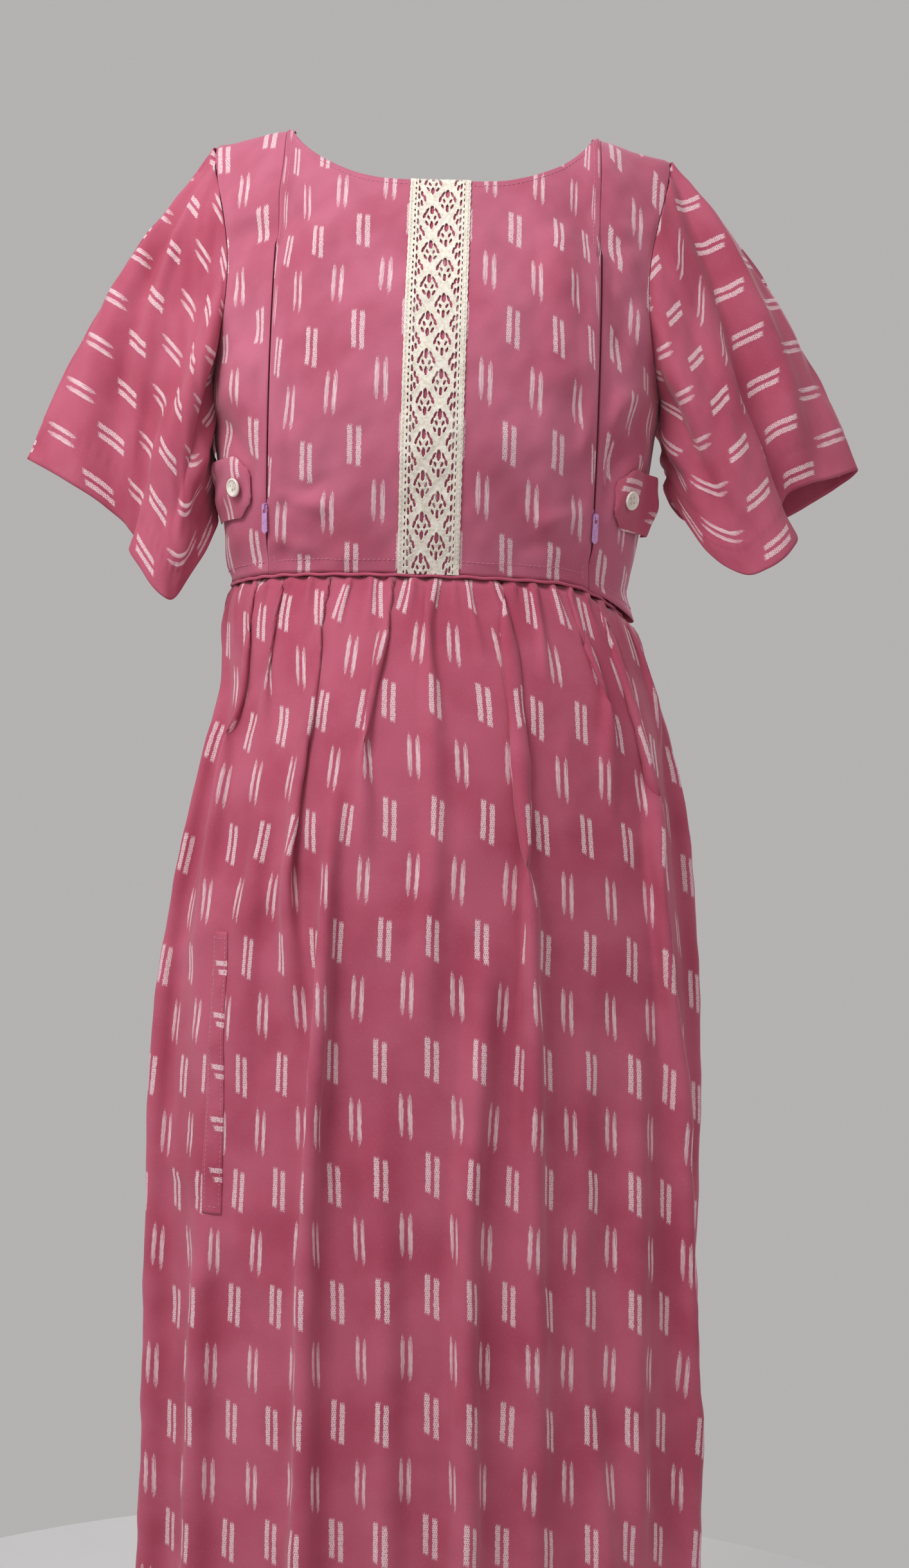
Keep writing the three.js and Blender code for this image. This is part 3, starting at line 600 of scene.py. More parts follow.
def zip_open(level):
    """How far the slit over a zip stands open at a level, from 0 to 1."""
    return smooth(level, ZIP_TOP - 10, ZIP_TOP - 2) * (1 - smooth(level, ZIP_END + 14, ZIP_END + 34))


def seam_half(level):
    return 0.25 + 0.95 * zip_open(level)


def on_body(front, root, turn):
    """Points of the body and their outward normals."""
    return body_point(front, root, turn), body_normal(front, root, turn)


def on_cloth(front, root, turn, lift=0.0, wrinkled=1.0):
    """Points lifted off the wrinkled cloth, and the body's normals there."""
    p, n = on_body(front, root, turn)
    wrinkle = front_wrinkle if front else back_wrinkle
    return p + n * (lift + wrinkle(p[..., 0], p[..., 2]) * wrinkled)[..., None], n


def front_cloth(x, root, lift):
    return on_cloth(True, root, turn_at(x, root**2), lift)


FRONT_CREASES = [
    # start (x, z), end (x, z), width, height
    ((150, -196), (96, -262), 9, 3.4),
    ((158, -214), (104, -300), 8, -3.0),
    ((160, -232), (118, -318), 7, 2.6),
    ((150, -180), (70, -214), 13, 2.0),
    ((100, -232), (30, -262), 16, 1.4),
    ((-152, -204), (-104, -262), 9, 2.6),
    ((-160, -226), (-112, -296), 7, -2.4),
    ((-150, -186), (-84, -212), 13, 1.6),
    ((-122, -286), (-72, -300), 6, 2.2),
    ((-116, -300), (-66, -276), 7, -1.8),
    ((-128, -312), (-80, -330), 6, 1.6),
    ((122, -290), (74, -306), 6, 1.8),
    ((118, -306), (60, -326), 6, -1.6),
    ((-96, -118), (-30, -196), 18, 1.4),
    ((92, -110), (28, -186), 18, 1.3),
    ((-132, -98), (-150, -170), 10, 2.2),
    ((134, -92), (152, -168), 10, 2.4),
    ((-145, -128), (-128, -190), 8, -1.8),
    ((146, -126), (130, -188), 8, -2.0),
]


def front_wrinkle(x, z):
    """How far the bodice's front stands off its middle surface, in mm."""
    level = -z
    total = ripple(x, z, 62, 1.2, 11) + ripple(x, z, 24, 0.32, 12)
    for row in FRONT_CREASES:
        total = total + 1.5 * crease(x, z, *row)
    puckers = 0.5 * np.sin(x / 5.1 + 1.3 * np.sin(x / 17))
    total = total + puckers * smooth(level, WAIST - 30, WAIST - 12)
    quiet = 1 - 0.85 * smooth(level, WAIST - 12, WAIST - 2)
    beside = np.abs(np.abs(x) - ZIP_X)
    held = 1 - zip_open(level) * (1 - smooth(beside, 3, 14))
    edge = 0.35 + 0.65 * smooth(level - neck_level(x, NECK_FRONT, NECK_HALF), 0, 22)
    return total * quiet * held * edge


BACK_CREASES = [
    ((140, -200), (60, -290), 12, 3.2),
    ((-140, -204), (-56, -286), 12, 3.0),
    ((120, -250), (20, -318), 10, -2.4),
    ((-124, -246), (-24, -322), 10, -2.2),
    ((70, -60), (-60, -78), 20, 1.6),
]


def back_wrinkle(x, z):
    level = -z
    total = ripple(x, z, 70, 1.0, 21) + ripple(x, z, 30, 0.3, 22)
    total = total + sum(crease(x, z, *row) for row in BACK_CREASES)
    quiet = 1 - 0.85 * smooth(level, WAIST - 12, WAIST - 2)
    return total * quiet * (0.3 + 0.7 * smooth(level, 20, 50))


def bodice_end(turn):
    return np.sqrt(WAIST + waist_sag(turn) - 1.2)


def flap_lift(level):
    return lerp(0.55, 2.9, zip_open(level))


def shear_print(uv, left, right):
    """The print's rows slope a little across a panel: a lean for each side of the middle."""
    u = uv[..., 0]
    uv[..., 1] += np.where(u < 0, -left * u, right * u)
    return uv


def build_centre_panel():
    s = np.linspace(-1, 1, 189)
    v = np.linspace(0, 1, 170)[:, None]
    guess = s * (ZIP_X - 1.2)
    top = np.sqrt(np.maximum(neck_level(guess, NECK_FRONT, NECK_HALF), 0.0016))
    root = lerp(top, bodice_end(turn_at(guess, WAIST)), v)
    level = root**2
    reach = ZIP_X - seam_half(level) - 0.95
    x = s * reach
    inward = reach - np.abs(x)
    lift = flap_lift(level) * (1 - smooth(inward, 1.5, 15))
    for dx, drop in ((0.7, 0.25), (0.95, 0.8), (0.6, 1.25), (-1.0, 1.4), (-4.0, 1.4)):
        side_x = reach[:, :1] + dx
        side_lift = np.maximum(flap_lift(level[:, :1]) - drop, -0.3 - 0.1 * drop)
        x = np.concatenate([-side_x, x, side_x], 1)
        lift = np.concatenate([side_lift, lift, side_lift], 1)
        root = np.concatenate([root[:, :1], root, root[:, -1:]], 1)
    points, _ = front_cloth(x, root, lift)
    uv = flat_map(points, points.shape[1] // 2, -1)
    obj = grid_object("bodice_centre", points, shear_print(uv, 0.22, 0.1), COTTON)
    finish_cloth(obj, "front_centre_panel", (0.25, 0.345), 0.073)


def build_side_panel(name, side):
    s = np.linspace(0, 1, 70)
    v = np.linspace(0, 1, 160)[:, None]
    root = lerp(0.04, bodice_end(side * lerp(0.9, 1.57, s)), v)
    level = root**2
    start = turn_at(ZIP_X + seam_half(level[:, :1]), level[:, :1])
    turn = lerp(start, edge_turn(level) - 0.001, s)
    beside = half_width(level) * np.sin(turn) - ZIP_X - seam_half(level)
    lift = lerp(-0.35, 0.85, zip_open(level)) * (1 - smooth(beside, 2, 9))
    points, _ = on_cloth(True, root, side * turn, lift, smooth(1 - s, 0.0, 0.12))
    points = points[:, ::side]
    uv = flat_map(points, 0 if side > 0 else -1, -1)
    uv[..., 0] += side * ZIP_X * MM
    obj = grid_object(f"bodice_side_{name}", points, uv, COTTON)
    finish_cloth(obj, f"front_side_panel_{name}", (0.10, 0.36), 0.028)


def build_back_panel():
    t = np.linspace(-1, 1, 200)
    v = np.linspace(0, 1, 150)[:, None]
    top = np.full(t.shape, 0.04)
    for _ in range(30):
        x = half_width(top**2) * np.sin(t * edge_turn(top**2))
        top = 0.5 * top + 0.5 * np.sqrt(np.maximum(neck_level(x, NECK_BACK, NECK_HALF), 0.0016))
    root = lerp(top, bodice_end(t * math.pi / 2), v)
    turn = t * (edge_turn(root**2) - 0.001)
    points, _ = on_cloth(False, root, turn, wrinkled=smooth(1 - np.abs(t), 0.0, 0.06))
    points = points[:, ::-1]
    obj = grid_object("bodice_back", points, flat_map(points, 100, -1), COTTON)
    finish_cloth(obj, "back_panel", (0.44, 0.36), 0.135)


def build_facing(name, front):
    """The pale band inside the neckline, a little below the edge so that it stays inside."""
    deep = NECK_FRONT if front else NECK_BACK
    t = np.linspace(0, math.pi, 150)
    w = np.linspace(0, 1, 14)[:, None]
    spans = [(NECK_HALF + extra, deep + extra) for extra in (0.0, 29.0)]
    edges = [(-half * np.cos(t), neck_level(-half * np.cos(t), low, half)) for half, low in spans]
    (x0, level0), (x1, level1) = edges
    root = np.sqrt(np.maximum(lerp(level0, level1, w), 0.02))
    points, _ = on_cloth(front, root, turn_at(lerp(x0, x1, w), root**2), -1.3)
    if not front:
        points = points[:, ::-1]
    obj = grid_object(f"facing_{name}", points, flat_map(points, 75, 0), COTTON_PLAIN, thick=0.4)
    finish_cloth(obj, f"neck_facing_{name}", (0.33, 0.03), 0.009)


def dress(obj, node):
    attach(obj, "gown")
    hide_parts(node)


def finish_cloth(obj, node, flat, area=None):
    dress(obj, node)


# ---------------------------------------------------------------- lace
def ellipse(x, y, cx, cy, rx, ry, lean=0.0):
    """Below 1 inside an ellipse, with lean its angle from upright in radians."""
    c, s = math.cos(lean), math.sin(lean)
    dx, dy = x - cx, y - cy
    return ((dx * c + dy * s) / rx) ** 2 + ((-dx * s + dy * c) / ry) ** 2


def lace_pattern(x, y):
    """The lace's openings: the least ellipse value at a point, below 1 in an opening."""
    petals = [(0, 5.4, 1.45, 3.7, 0), (0, -6.8, 1.15, 3.2, 0)]
    for side in (-1, 1):
        petals += [
            (side * 3.3, 4.9, 0.8, 2.6, side * 0.4),
            (side * 5.3, 0.6, 0.9, 2.6, side * 0.25),
            (side * 2.3, -0.8, 0.8, 1.9, -side * 0.35),
            (side * 3.4, -5.2, 0.8, 2.2, -side * 0.45),
        ]
    value = np.full(x.shape, 9.0)

    def cut(across, start, pitch, holes):
        nonlocal value
        along = (y - start + pitch / 2) % pitch - pitch / 2
        for hole in holes:
            value = np.minimum(value, ellipse(x - across, along, *hole))

    for side in (-1, 1):
        cut(side * 5.4, 7.0 + 7.0 * side, 28.0, petals)
        # slits in the half diamonds between the flowers and the border, then two border rows
        slits = ((11.0, 0.6, 0.8, 2.9), (13.0, 4.6, 0.8, 2.7), (13.0, -3.4, 0.8, 2.8))
        cut(0, 7.0 - 7.0 * side, 28.0, [(side * px, *rest, -side * 0.16) for px, *rest in slits])
        cut(0, -2.0 * side, 7.0, [(side * 15.2, 0, 0.75, 2.6, -side * 0.1)])
        cut(0, 0.0, 4.66, [(side * 17.6, 0, 0.42, 1.6)])
    return value


def build_lace():
    half = LACE_WIDTH / 2
    xs = np.arange(-half, half + 0.2, 0.48)
    v = np.linspace(0, 1, 540)[:, None]
    foot = bodice_end(turn_at(xs, WAIST)) ** 2
    root = np.sqrt(lerp(neck_level(xs, NECK_FRONT, NECK_HALF), foot, v))
    x = np.broadcast_to(xs, root.shape)
    y = -(root**2)
    scallop = 0.35 * np.sin(y / 0.9)
    x = x + np.where(np.abs(x) > half - 0.3, np.sign(x) * scallop, 0)
    value = lace_pattern(x, y + 2.0)
    rib = 0.22 * np.cos(2 * math.pi * np.abs(x) / 1.32) * smooth(np.abs(x), 17.6, 18.6)
    cord = 0.32 * np.exp(-((np.sqrt(np.maximum(value, 0)) - 1.25) / 0.22) ** 2)
    knots = 0.10 * np.sin(x * 4.6) * np.sin(y * 4.6)
    points, _ = front_cloth(x, root, 1.25 + rib + cord + knots)
    middle = (value[:-1, :-1] + value[1:, :-1] + value[:-1, 1:] + value[1:, 1:]) / 4
    uv = flat_map(points, len(xs) // 2, -1)
    obj = grid_object("lace_band", points, uv, LACE, thick=0.55, holes=middle < 1.0)
    edit_mesh(obj.data, drop_loose, soften_rims)
    finish_cloth(obj, "lace_trim", (0.044, 0.30), 0.0105)


# ---------------------------------------------------------------- waist seam and skirt
def ring_point(angle, level, scale=1.0, sag=True):
    """A point round the body: angle 0 is the front's middle, positive towards +X."""
    front = np.abs(angle) <= math.pi / 2
    folded = np.where(front, angle, np.sign(angle) * math.pi - angle)
    x = half_width(level) * np.sin(folded)
    root = np.sqrt(level)
    y = np.where(front, -depth(True, root), depth(False, root)) * np.cos(folded)
    fade = 1 - smooth(level, WAIST + 20, WAIST + 320)
    drop = waist_sag(folded) * fade if sag else 0.0
    return np.stack([x * scale, y * scale, -(level + drop)], -1)


def even_ring(level, count, scale=1.0):
    """Points evenly spaced round the body at a level, starting at the back's middle."""
    angle = np.linspace(-math.pi, math.pi, 1441)
    p = ring_point(angle, np.full(angle.shape, float(level)), scale)
    run = np.concatenate([[0], np.cumsum(np.linalg.norm(np.diff(p, axis=0), axis=1))])
    spots = np.arange(count) / count * run[-1]
    picked = np.interp(spots, run, angle)
    return ring_point(picked, np.full(count, float(level)), scale), run[-1], picked


def periodic_noise(phase, cycles, seed, spread=0.28):
    """Irregular waves round a ring, of about the stated number of cycles."""
    rng = np.random.default_rng(seed)
    total = np.zeros(phase.shape)
    low = max(1, int(round(cycles * (1 - spread))))
    high = int(round(cycles * (1 + spread)))
    picks = rng.integers(low, high + 1, 7)
    for k in picks:
        total = total + rng.uniform(0.6, 1.0) * np.sin(2 * math.pi * (k * phase + rng.uniform()))
    return total / 2.3


SKIRT_COLUMNS, SKIRT_ROWS = 384, 140
FLAT_ROUND = 1330.0
SKIRT_RUN = SKIRT - 3.0
WELT_X, WELT_TOP, WELT_LONG, WELT_WIDE = -141.0, 606.0, 202.0, 15.0
WAVE_SPANS = ((60, 190), (0, 12), (6, 60), (200, 420), (50, 200), (420, 760), (150, 520))
SWAY = 14.0  # how far the hem hangs towards +X of the bodice's middle


def rest_width(below):
    seam = even_ring(WAIST + 1, 60)[1]
    return lerp(seam * 1.3, FLAT_ROUND, smooth(below, -10, 70)) / SKIRT_COLUMNS


def seed_skirt():
    """The skirt before it hangs: rings of the body's shape with gathers and folds."""
    below = np.linspace(0, SKIRT_RUN, SKIRT_ROWS)
    phase = np.arange(SKIRT_COLUMNS) / SKIRT_COLUMNS
    rows = []
    for d in below:
        level = WAIST + 1.5 + d
        p = even_ring(min(level, WAIST + SKIRT), SKIRT_COLUMNS, 0.985)[0]
        out = np.stack([p[:, 0], p[:, 1] * 1.2, 0 * p[:, 2]], -1)
        out /= np.linalg.norm(out, axis=1, keepdims=True)
        drift = phase + 0.004 * math.sin(d / 140.0)
        up = [float(smooth(d, a, b)) for a, b in WAVE_SPANS]
        wave = 3.6 * (1 - up[0]) * (0.6 + 0.4 * up[1]) * periodic_noise(drift, 48, 5, 0.12)
        wave = wave + 6.0 * up[2] * (1 - up[3]) * periodic_noise(drift, 27, 6, 0.16)
        wave = wave + 8.0 * up[4] * (1 - 0.6 * up[5]) * periodic_noise(drift, 17, 7, 0.18)
        wave = wave + 13.0 * up[6] * periodic_noise(drift, 10, 8, 0.2)
        rows.append(p + out * wave[:, None])
    return np.array(rows), below


def pull_pairs(a, b, rest, stiff):
    """How far two arrays of points move towards their rest distance."""
    d = b - a
    length = np.linalg.norm(d, axis=-1, keepdims=True)
    return d * (stiff * (length - rest) / np.maximum(length, 1e-6))


def off_ring(p):
    return (np.roll(p, -1, 1) + np.roll(p, 1, 1)) / 2 - p


def off_column(p):
    return (p[2:] + p[:-2]) / 2 - p[1:-1]


def relax(p, widths, step, bend):
    """One round of the cloth's length, shear and bending constraints, top row held."""
    rows, cols = p.shape[:2]
    for turn in (-1, 1):
        pairs = p.reshape(rows, cols // 2, 2, 3)
        shift = pull_pairs(pairs[:, :, 0], pairs[:, :, 1], widths, 0.5)
        pairs[1:, :, 0] += shift[1:]
        pairs[1:, :, 1] -= shift[1:]
        p = np.roll(p, turn, 1)
    for first in (0, 1):
        a, b = p[first:-1:2], p[first + 1 :: 2]
        n = min(len(a), len(b))
        shift = pull_pairs(a[:n], b[:n], step, 0.5)
        p[first : first + 2 * n : 2] += shift
        p[first + 1 : first + 1 + 2 * n : 2] -= shift
    diagonal = np.sqrt(step**2 + ((widths[:-1] + widths[1:]) / 2) ** 2)
    for way in (1, -1):
        shift = pull_pairs(p[:-1], np.roll(p, -way, 1)[1:], diagonal, 0.10)
        p[:-1] += shift
        p[1:] -= np.roll(shift, way, 1)
    p -= bend * off_ring(off_ring(p))
    p[2:-2] -= 0.15 * off_column(off_column(p))
    return p


def leg_form(level, top, low):
    return lerp(top, low, smooth(level, WAIST + 30, WAIST + 450))


def hold_outside(p, limit):
    """Keeps the cloth outside the legs' form and inside a soft outer limit."""
    level = np.clip(-p[..., 2], WAIST + 1, WAIST + SKIRT)
    wide = half_width(level)
    root = np.sqrt(level)
    deep = np.where(p[..., 1] < 0, depth(True, root), depth(False, root))
    q = np.sqrt((p[..., 0] / wide) ** 2 + (p[..., 1] / deep) ** 2)
    sideways = smooth(np.abs(p[..., 0]) / wide, 0.55, 0.95)
    inner = lerp(leg_form(level, 0.985, 0.90), leg_form(level, 0.99, 0.975), sideways)
    scale = np.where(q < inner, inner / np.maximum(q, 1e-6), 1.0)
    scale = np.where(q > limit, lerp(1.0, limit / np.maximum(q, 1e-6), 0.5), scale)
    p[..., :2] *= scale[..., None]
    return p


def hang_skirt():
    p, below = seed_skirt()
    top = p[0].copy()
    step = below[1] - below[0]
    widths = np.array([rest_width(d) for d in below])[:, None, None]
    reach = (below + 0.5)[:, None]
    velocity = np.zeros_like(p)
    frames = 70
    bend = lerp(0.02, 0.2, smooth(below, 10, 170))[:, None, None]
    for _ in range(frames):
        before = p.copy()
        p = p + velocity
        p[1:, :, 2] -= 0.35
        for _ in range(9):
            p = relax(p, widths, step, bend)
            p[0] = top
            far = p - top
            length = np.linalg.norm(far, axis=-1)
            tight = np.minimum(1, reach / np.maximum(length, 1e-6))
            p = top + far * tight[..., None]
        p = hold_outside(p, 1.09)
        p[0] = top
        velocity = (p - before) * 0.9
        speed = np.linalg.norm(velocity, axis=-1, keepdims=True)
        velocity *= np.minimum(1, 3.0 / np.maximum(speed, 1e-6))
    p[..., 0] += SWAY * smooth(-p[..., 2], WAIST + 40, WAIST + 760)
    return p, below


def flatten_pocket(p):
    """The welt and the bag behind it keep the cloth nearly flat round the pocket."""
    x, z, front = p[..., 0], p[..., 2], p[..., 1] < 0
    near = np.exp(-(((x - WELT_X) / 17) ** 2)) * smooth(-z, WELT_TOP - 40, WELT_TOP)
    near = near * (1 - smooth(-z, WELT_TOP + WELT_LONG, WELT_TOP + WELT_LONG + 50)) * front
    near = (near * 1.4).clip(0, 1)[..., None]
    for _ in range(60):
        soft = (np.roll(p, 1, 1) + np.roll(p, -1, 1)) / 2
        soft[1:-1] = (soft[1:-1] + (p[2:] + p[:-2]) / 2) / 2
        p = p + 0.8 * near * (soft - p)
    return p


SKIRT_CREASES = [
    ((-146, -790), (-192, -776), 5, 2.2),
    ((-150, -600), (-186, -640), 7, 1.6),
    ((-186, -640), (-190, -770), 5, 1.4),
    ((-132, -606), (-96, -560), 7, 1.6),
    ((-134, -812), (-92, -870), 9, 1.8),
    ((-150, -820), (-176, -900), 9, -1.8),
]


def skirt_details(p):
    """Small creases that the cloth has from wear, along its own normals."""
    n = normals_of(p, ringed=True)
    x, z, front = p[..., 0], p[..., 2], p[..., 1] < 0
    lift = ripple(x, z, 75, 0.7, 31) + ripple(x, z, 30, 0.25, 32)
    for row in SKIRT_CREASES:
        lift = lift + crease(x, z, *row) * front
    rng = np.random.default_rng(33)
    for _ in range(110):
        at_x, at_z = rng.uniform(-200, 200), -rng.uniform(WAIST + 70, WAIST + SKIRT - 20)
        lean, run = rng.normal(math.pi / 2, 0.75), rng.uniform(25, 75)
        end = (at_x + run * math.cos(lean), at_z - abs(run * math.sin(lean)))
        width, height = rng.uniform(2.6, 6), rng.uniform(-1.1, 1.1)
        face = front if rng.uniform() < 0.6 else ~front
        lift = lift + crease(x, z, (at_x, at_z), end, width, height) * face
    lift = lift * smooth(-z, WAIST + 30, WAIST + 90)
    return p + n * lift[..., None]


def slim_left(p, below):
    """The hip on the photo's left falls straighter than the form that the cloth hung on."""
    level = below[:, None]
    share = smooth(level, 0, 100) * np.exp(-np.maximum(level - 110, 0) / 260)
    x = p[..., 0]
    p[..., 0] = x * (1 - 0.145 * share * smooth(-x, 0, 130))
    return p


def side_column(p, first, last):
    """The column between first and last that runs down the gown's side."""
    return first + int(np.argmin(np.abs(p[10:60, :, 1]).sum(0)[first:last]))


def build_skirt():
    p, below = hang_skirt()
    p = skirt_details(flatten_pocket(slim_left(p, below)))
    n = normals_of(p, ringed=True)
    p = np.concatenate([p, p[:, :1]], 1)
    n = np.concatenate([n, n[:, :1]], 1)
    flat = FLAT_ROUND * MM
    uv = np.zeros(p.shape[:2] + (2,))
    uv[..., 0] = (np.arange(SKIRT_COLUMNS + 1) / SKIRT_COLUMNS - 0.5) * flat
    uv[..., 1] = -below[:, None] * MM
    eighth = SKIRT_COLUMNS // 8
    a, b = side_column(p, eighth, 3 * eighth), side_column(p, 5 * eighth, 7 * eighth)
    front_uv = shear_print(uv[:, a : b + 1].copy(), 0.12, 0.08)
    front = grid_object("skirt_front_drape", p[:, a : b + 1], front_uv, COTTON_SKIRT)
    back_p = np.concatenate([p[:, b:-1], p[:, : a + 1]], 1)
    back_uv = np.concatenate([uv[:, b:-1], uv[:, : a + 1] + np.array([flat, 0])], 1)
    back = grid_object("skirt_back_drape", back_p, back_uv, COTTON_SKIRT)
    share = (b - a) / SKIRT_COLUMNS
    for obj, node, wide in ((front, "skirt_front", share), (back, "skirt_back", 1 - share)):
        finish_cloth(obj, node, (flat * wide, 0.903), flat * wide * 0.89)
    return p, n


def build_waist_piping():
    """A narrow turned edge in the waist seam, which follows the seam's own drop."""
    angle = np.linspace(-math.pi, math.pi, 361)[:-1]
    folded = np.where(np.abs(angle) <= math.pi / 2, angle, np.sign(angle) * math.pi - angle)
    level = WAIST + waist_sag(folded)
    flat = ring_point(angle, np.full(angle.shape, WAIST), sag=False)
    path = np.stack([flat[:, 0], flat[:, 1], -level], -1)
    out = np.stack([path[:, 0], path[:, 1] * 1.6, 0 * level], -1)
    out /= np.linalg.norm(out, axis=1, keepdims=True)
    wave = 0.35 * np.sin(angle * 46) + 0.25 * np.sin(angle * 31 + 1)
    path = path + out * (0.9 + wave)[:, None]
    path[:, 2] += 0.3 * np.sin(angle * 39 + 0.6)
    obj = tube("waist_seam_piping", path, 1.15, COTTON_EDGE, sides=10, closed=True)
    dress(obj, "waist_piping")


# ---------------------------------------------------------------- sleeves
LEFT_HEM = [
    # share of the way round from the outer corner, over the front, and the point
    (0.00, (-311, 0, -256)), (0.07, (-283, -14, -271)), (0.14, (-250, -20, -291)),
    (0.185, (-230, -17, -307)), (0.215, (-221, -24, -318)), (0.24, (-223, -38, -327)),
    (0.275, (-214, -48, -343)), (0.33, (-198, -53, -361)), (0.37, (-188, -50, -364)),
    (0.43, (-173, -36, -334)), (0.50, (-161, -10, -297)), (0.57, (-176, 16, -296)),
    (0.66, (-204, 40, -300)), (0.76, (-238, 47, -292)), (0.88, (-280, 30, -270)),
]
RIGHT_HEM = [
    (0.00, (325, 0, -244)), (0.06, (304, -15, -253)), (0.12, (283, -23, -260)),
    (0.165, (266, -22, -270)), (0.195, (264, -32, -284)), (0.225, (274, -45, -300)),
    (0.26, (268, -53, -312)), (0.33, (250, -57, -328)), (0.38, (233, -55, -333)),
    (0.44, (206, -44, -315)), (0.50, (178, -14, -270)), (0.57, (192, 20, -282)),
    (0.66, (220, 42, -290)), (0.77, (258, 46, -285)), (0.89, (300, 28, -264)),
]


def closed_spline(stations, count):
    """A smooth loop through (share, point) stations, at evenly spaced shares."""
    shares = np.array([s for s, _ in stations])
    points = np.array([p for _, p in stations], float)
    xs = np.concatenate([shares - 1, shares, shares + 1])
    ys = np.concatenate([points] * 3)
    slopes = np.gradient(ys, xs, axis=0)
    t = np.arange(count) / count
    i = np.clip(np.searchsorted(xs, t, side="right") - 1, 0, len(xs) - 2)
    span = (xs[i + 1] - xs[i])[:, None]
    q = ((t - xs[i]) / (xs[i + 1] - xs[i]))[:, None]
    a = (2 * q**3 - 3 * q**2 + 1) * ys[i] + (q**3 - 2 * q**2 + q) * span * slopes[i]
    b = (-2 * q**3 + 3 * q**2) * ys[i + 1] + (q**3 - q**2) * span * slopes[i + 1]
    return a + b


def armhole_loop(side, count):
    angle = 2 * math.pi * np.arange(count) / count
    share = (1 - np.cos(angle)) / 2
    level = np.maximum(ARMPIT * share**1.15, 0.002)
    turn = edge_turn(level)
    front, back = (body_point(face, np.sqrt(level), turn) for face in (True, False))
    p = np.where((angle <= math.pi)[:, None], front, back)
    p[:, 0] += 0.6
    p[:, 0] *= side
    return p


SLEEVE_CREASES = {
    # columns are shares round the sleeve, rows are shares from armhole to hem
    "left": [
        ((0.05, -0.05), (0.15, 1.0), 0.035, 5.0), ((0.10, 0.1), (0.19, 1.0), 0.022, -4.0),
        ((0.33, 0.02), (0.245, 0.75), 0.03, -4.5), ((0.40, 0.0), (0.30, 0.85), 0.03, 4.0),
        ((0.46, 0.02), (0.38, 0.6), 0.025, -3.0), ((0.93, 0.0), (0.86, 0.8), 0.04, 4.0),
        ((0.60, 0.05), (0.66, 0.9), 0.04, -4.0), ((0.72, 0.1), (0.76, 0.95), 0.04, 3.5),
    ],
    "right": [
        ((0.06, 0.05), (0.13, 1.0), 0.032, -4.5), ((0.12, 0.05), (0.21, 1.0), 0.028, 5.0),
        ((0.36, 0.0), (0.27, 0.8), 0.035, -3.0), ((0.42, 0.0), (0.36, 0.85), 0.03, 4.0),
        ((0.47, 0.02), (0.43, 0.6), 0.025, -3.5), ((0.93, 0.0), (0.87, 0.8), 0.04, 4.0),
        ((0.61, 0.05), (0.67, 0.9), 0.04, -4.0), ((0.73, 0.1), (0.77, 0.95), 0.04, 3.5),
    ],
}
SLEEVE_COLUMNS, SLEEVE_ROWS = 240, 96
SLEEVE_STITCH = 0.888  # the hem's stitching, as a share of the way down the sleeve


def build_sleeve(name, side, hem_stations):
    arm = armhole_loop(side, SLEEVE_COLUMNS)
    hem = closed_spline(hem_stations, SLEEVE_COLUMNS)
    v = np.linspace(0, 1, SLEEVE_ROWS)[:, None, None]
    share = np.arange(SLEEVE_COLUMNS) / SLEEVE_COLUMNS
    smooth_hem = hem.copy()
    for _ in range(70):
        smooth_hem = (np.roll(smooth_hem, 1, 0) + np.roll(smooth_hem, -1, 0) + 2 * smooth_hem) / 4
    p = lerp(arm, lerp(smooth_hem, hem, v**1.5), v)
    around = 2 * math.pi * share[None, :, None]
    outer = np.maximum(np.cos(around), 0)
    lift = np.sin(math.pi * v) * 15.0 * outer
    p = p + lift * np.array([side * 0.75, 0, 0.66])
    full = np.abs(np.sin(around)) ** 0.7 * np.sign(np.sin(around))
    p = p - np.sin(math.pi * v) ** 0.9 * full * np.array([0, 6.0, 0])
    cap = 2.4 * np.exp(-((v * SLEEVE_ROWS / 9) ** 2)) * np.sin(13 * around) * outer
    n = normals_of(p, ringed=True) * side
    u2 = np.broadcast_to(share[None, :], p.shape[:2])
    v2 = np.broadcast_to(v[..., 0], p.shape[:2])
    bumps = ripple(u2 * 620, v2 * 190, 60, 1.3, 41 if side < 0 else 42)
    bumps = bumps + ripple(u2 * 620, v2 * 190, 24, 0.35, 43 if side < 0 else 44)
    for (u0, v0), (u1, v1), width, height in SLEEVE_CREASES[name]:
        t = np.clip((v2 - v0) / (v1 - v0), 0, 1)
        across = u2 - lerp(u0, u1, t)
        across = (across + 0.5) % 1 - 0.5
        ends = smooth(v2, v0 - 0.1, v0 + 0.25) * (1 - 0.8 * smooth(v2, v1 - 0.2, v1 + 0.1))
        bumps = bumps + 1.5 * height * ends * np.exp(-((across / width) ** 2))
    puckers = np.sin(u2 * 2 * math.pi * 60) * np.exp(-(((v2 - SLEEVE_STITCH) / 0.02) ** 2))
    band = 0.45 * smooth(v2, 0.885, 0.892) + 0.35 * puckers
    p = p + n * (bumps * smooth(v2, 0.0, 0.08) + band)[..., None] + n * cap
    uv = flat_map(np.concatenate([p, p[:, :1]], 1), SLEEVE_COLUMNS // 4, -1)
    obj = grid_object(f"sleeve_{name}_drape", p, uv, COTTON_CROSS, ringed=True)
    finish_cloth(obj, f"sleeve_{name}", (0.56, 0.27), 0.098)
    return p, normals_of(p, ringed=True) * side


# ---------------------------------------------------------------- belts, buttons, tab
BELT_LEVEL, BUTTON_TURN, BUTTON_SPIN = 281.0, math.radians(62), 0.35
HOLE_AT, HOLE_RADIUS = 1.7, 0.85


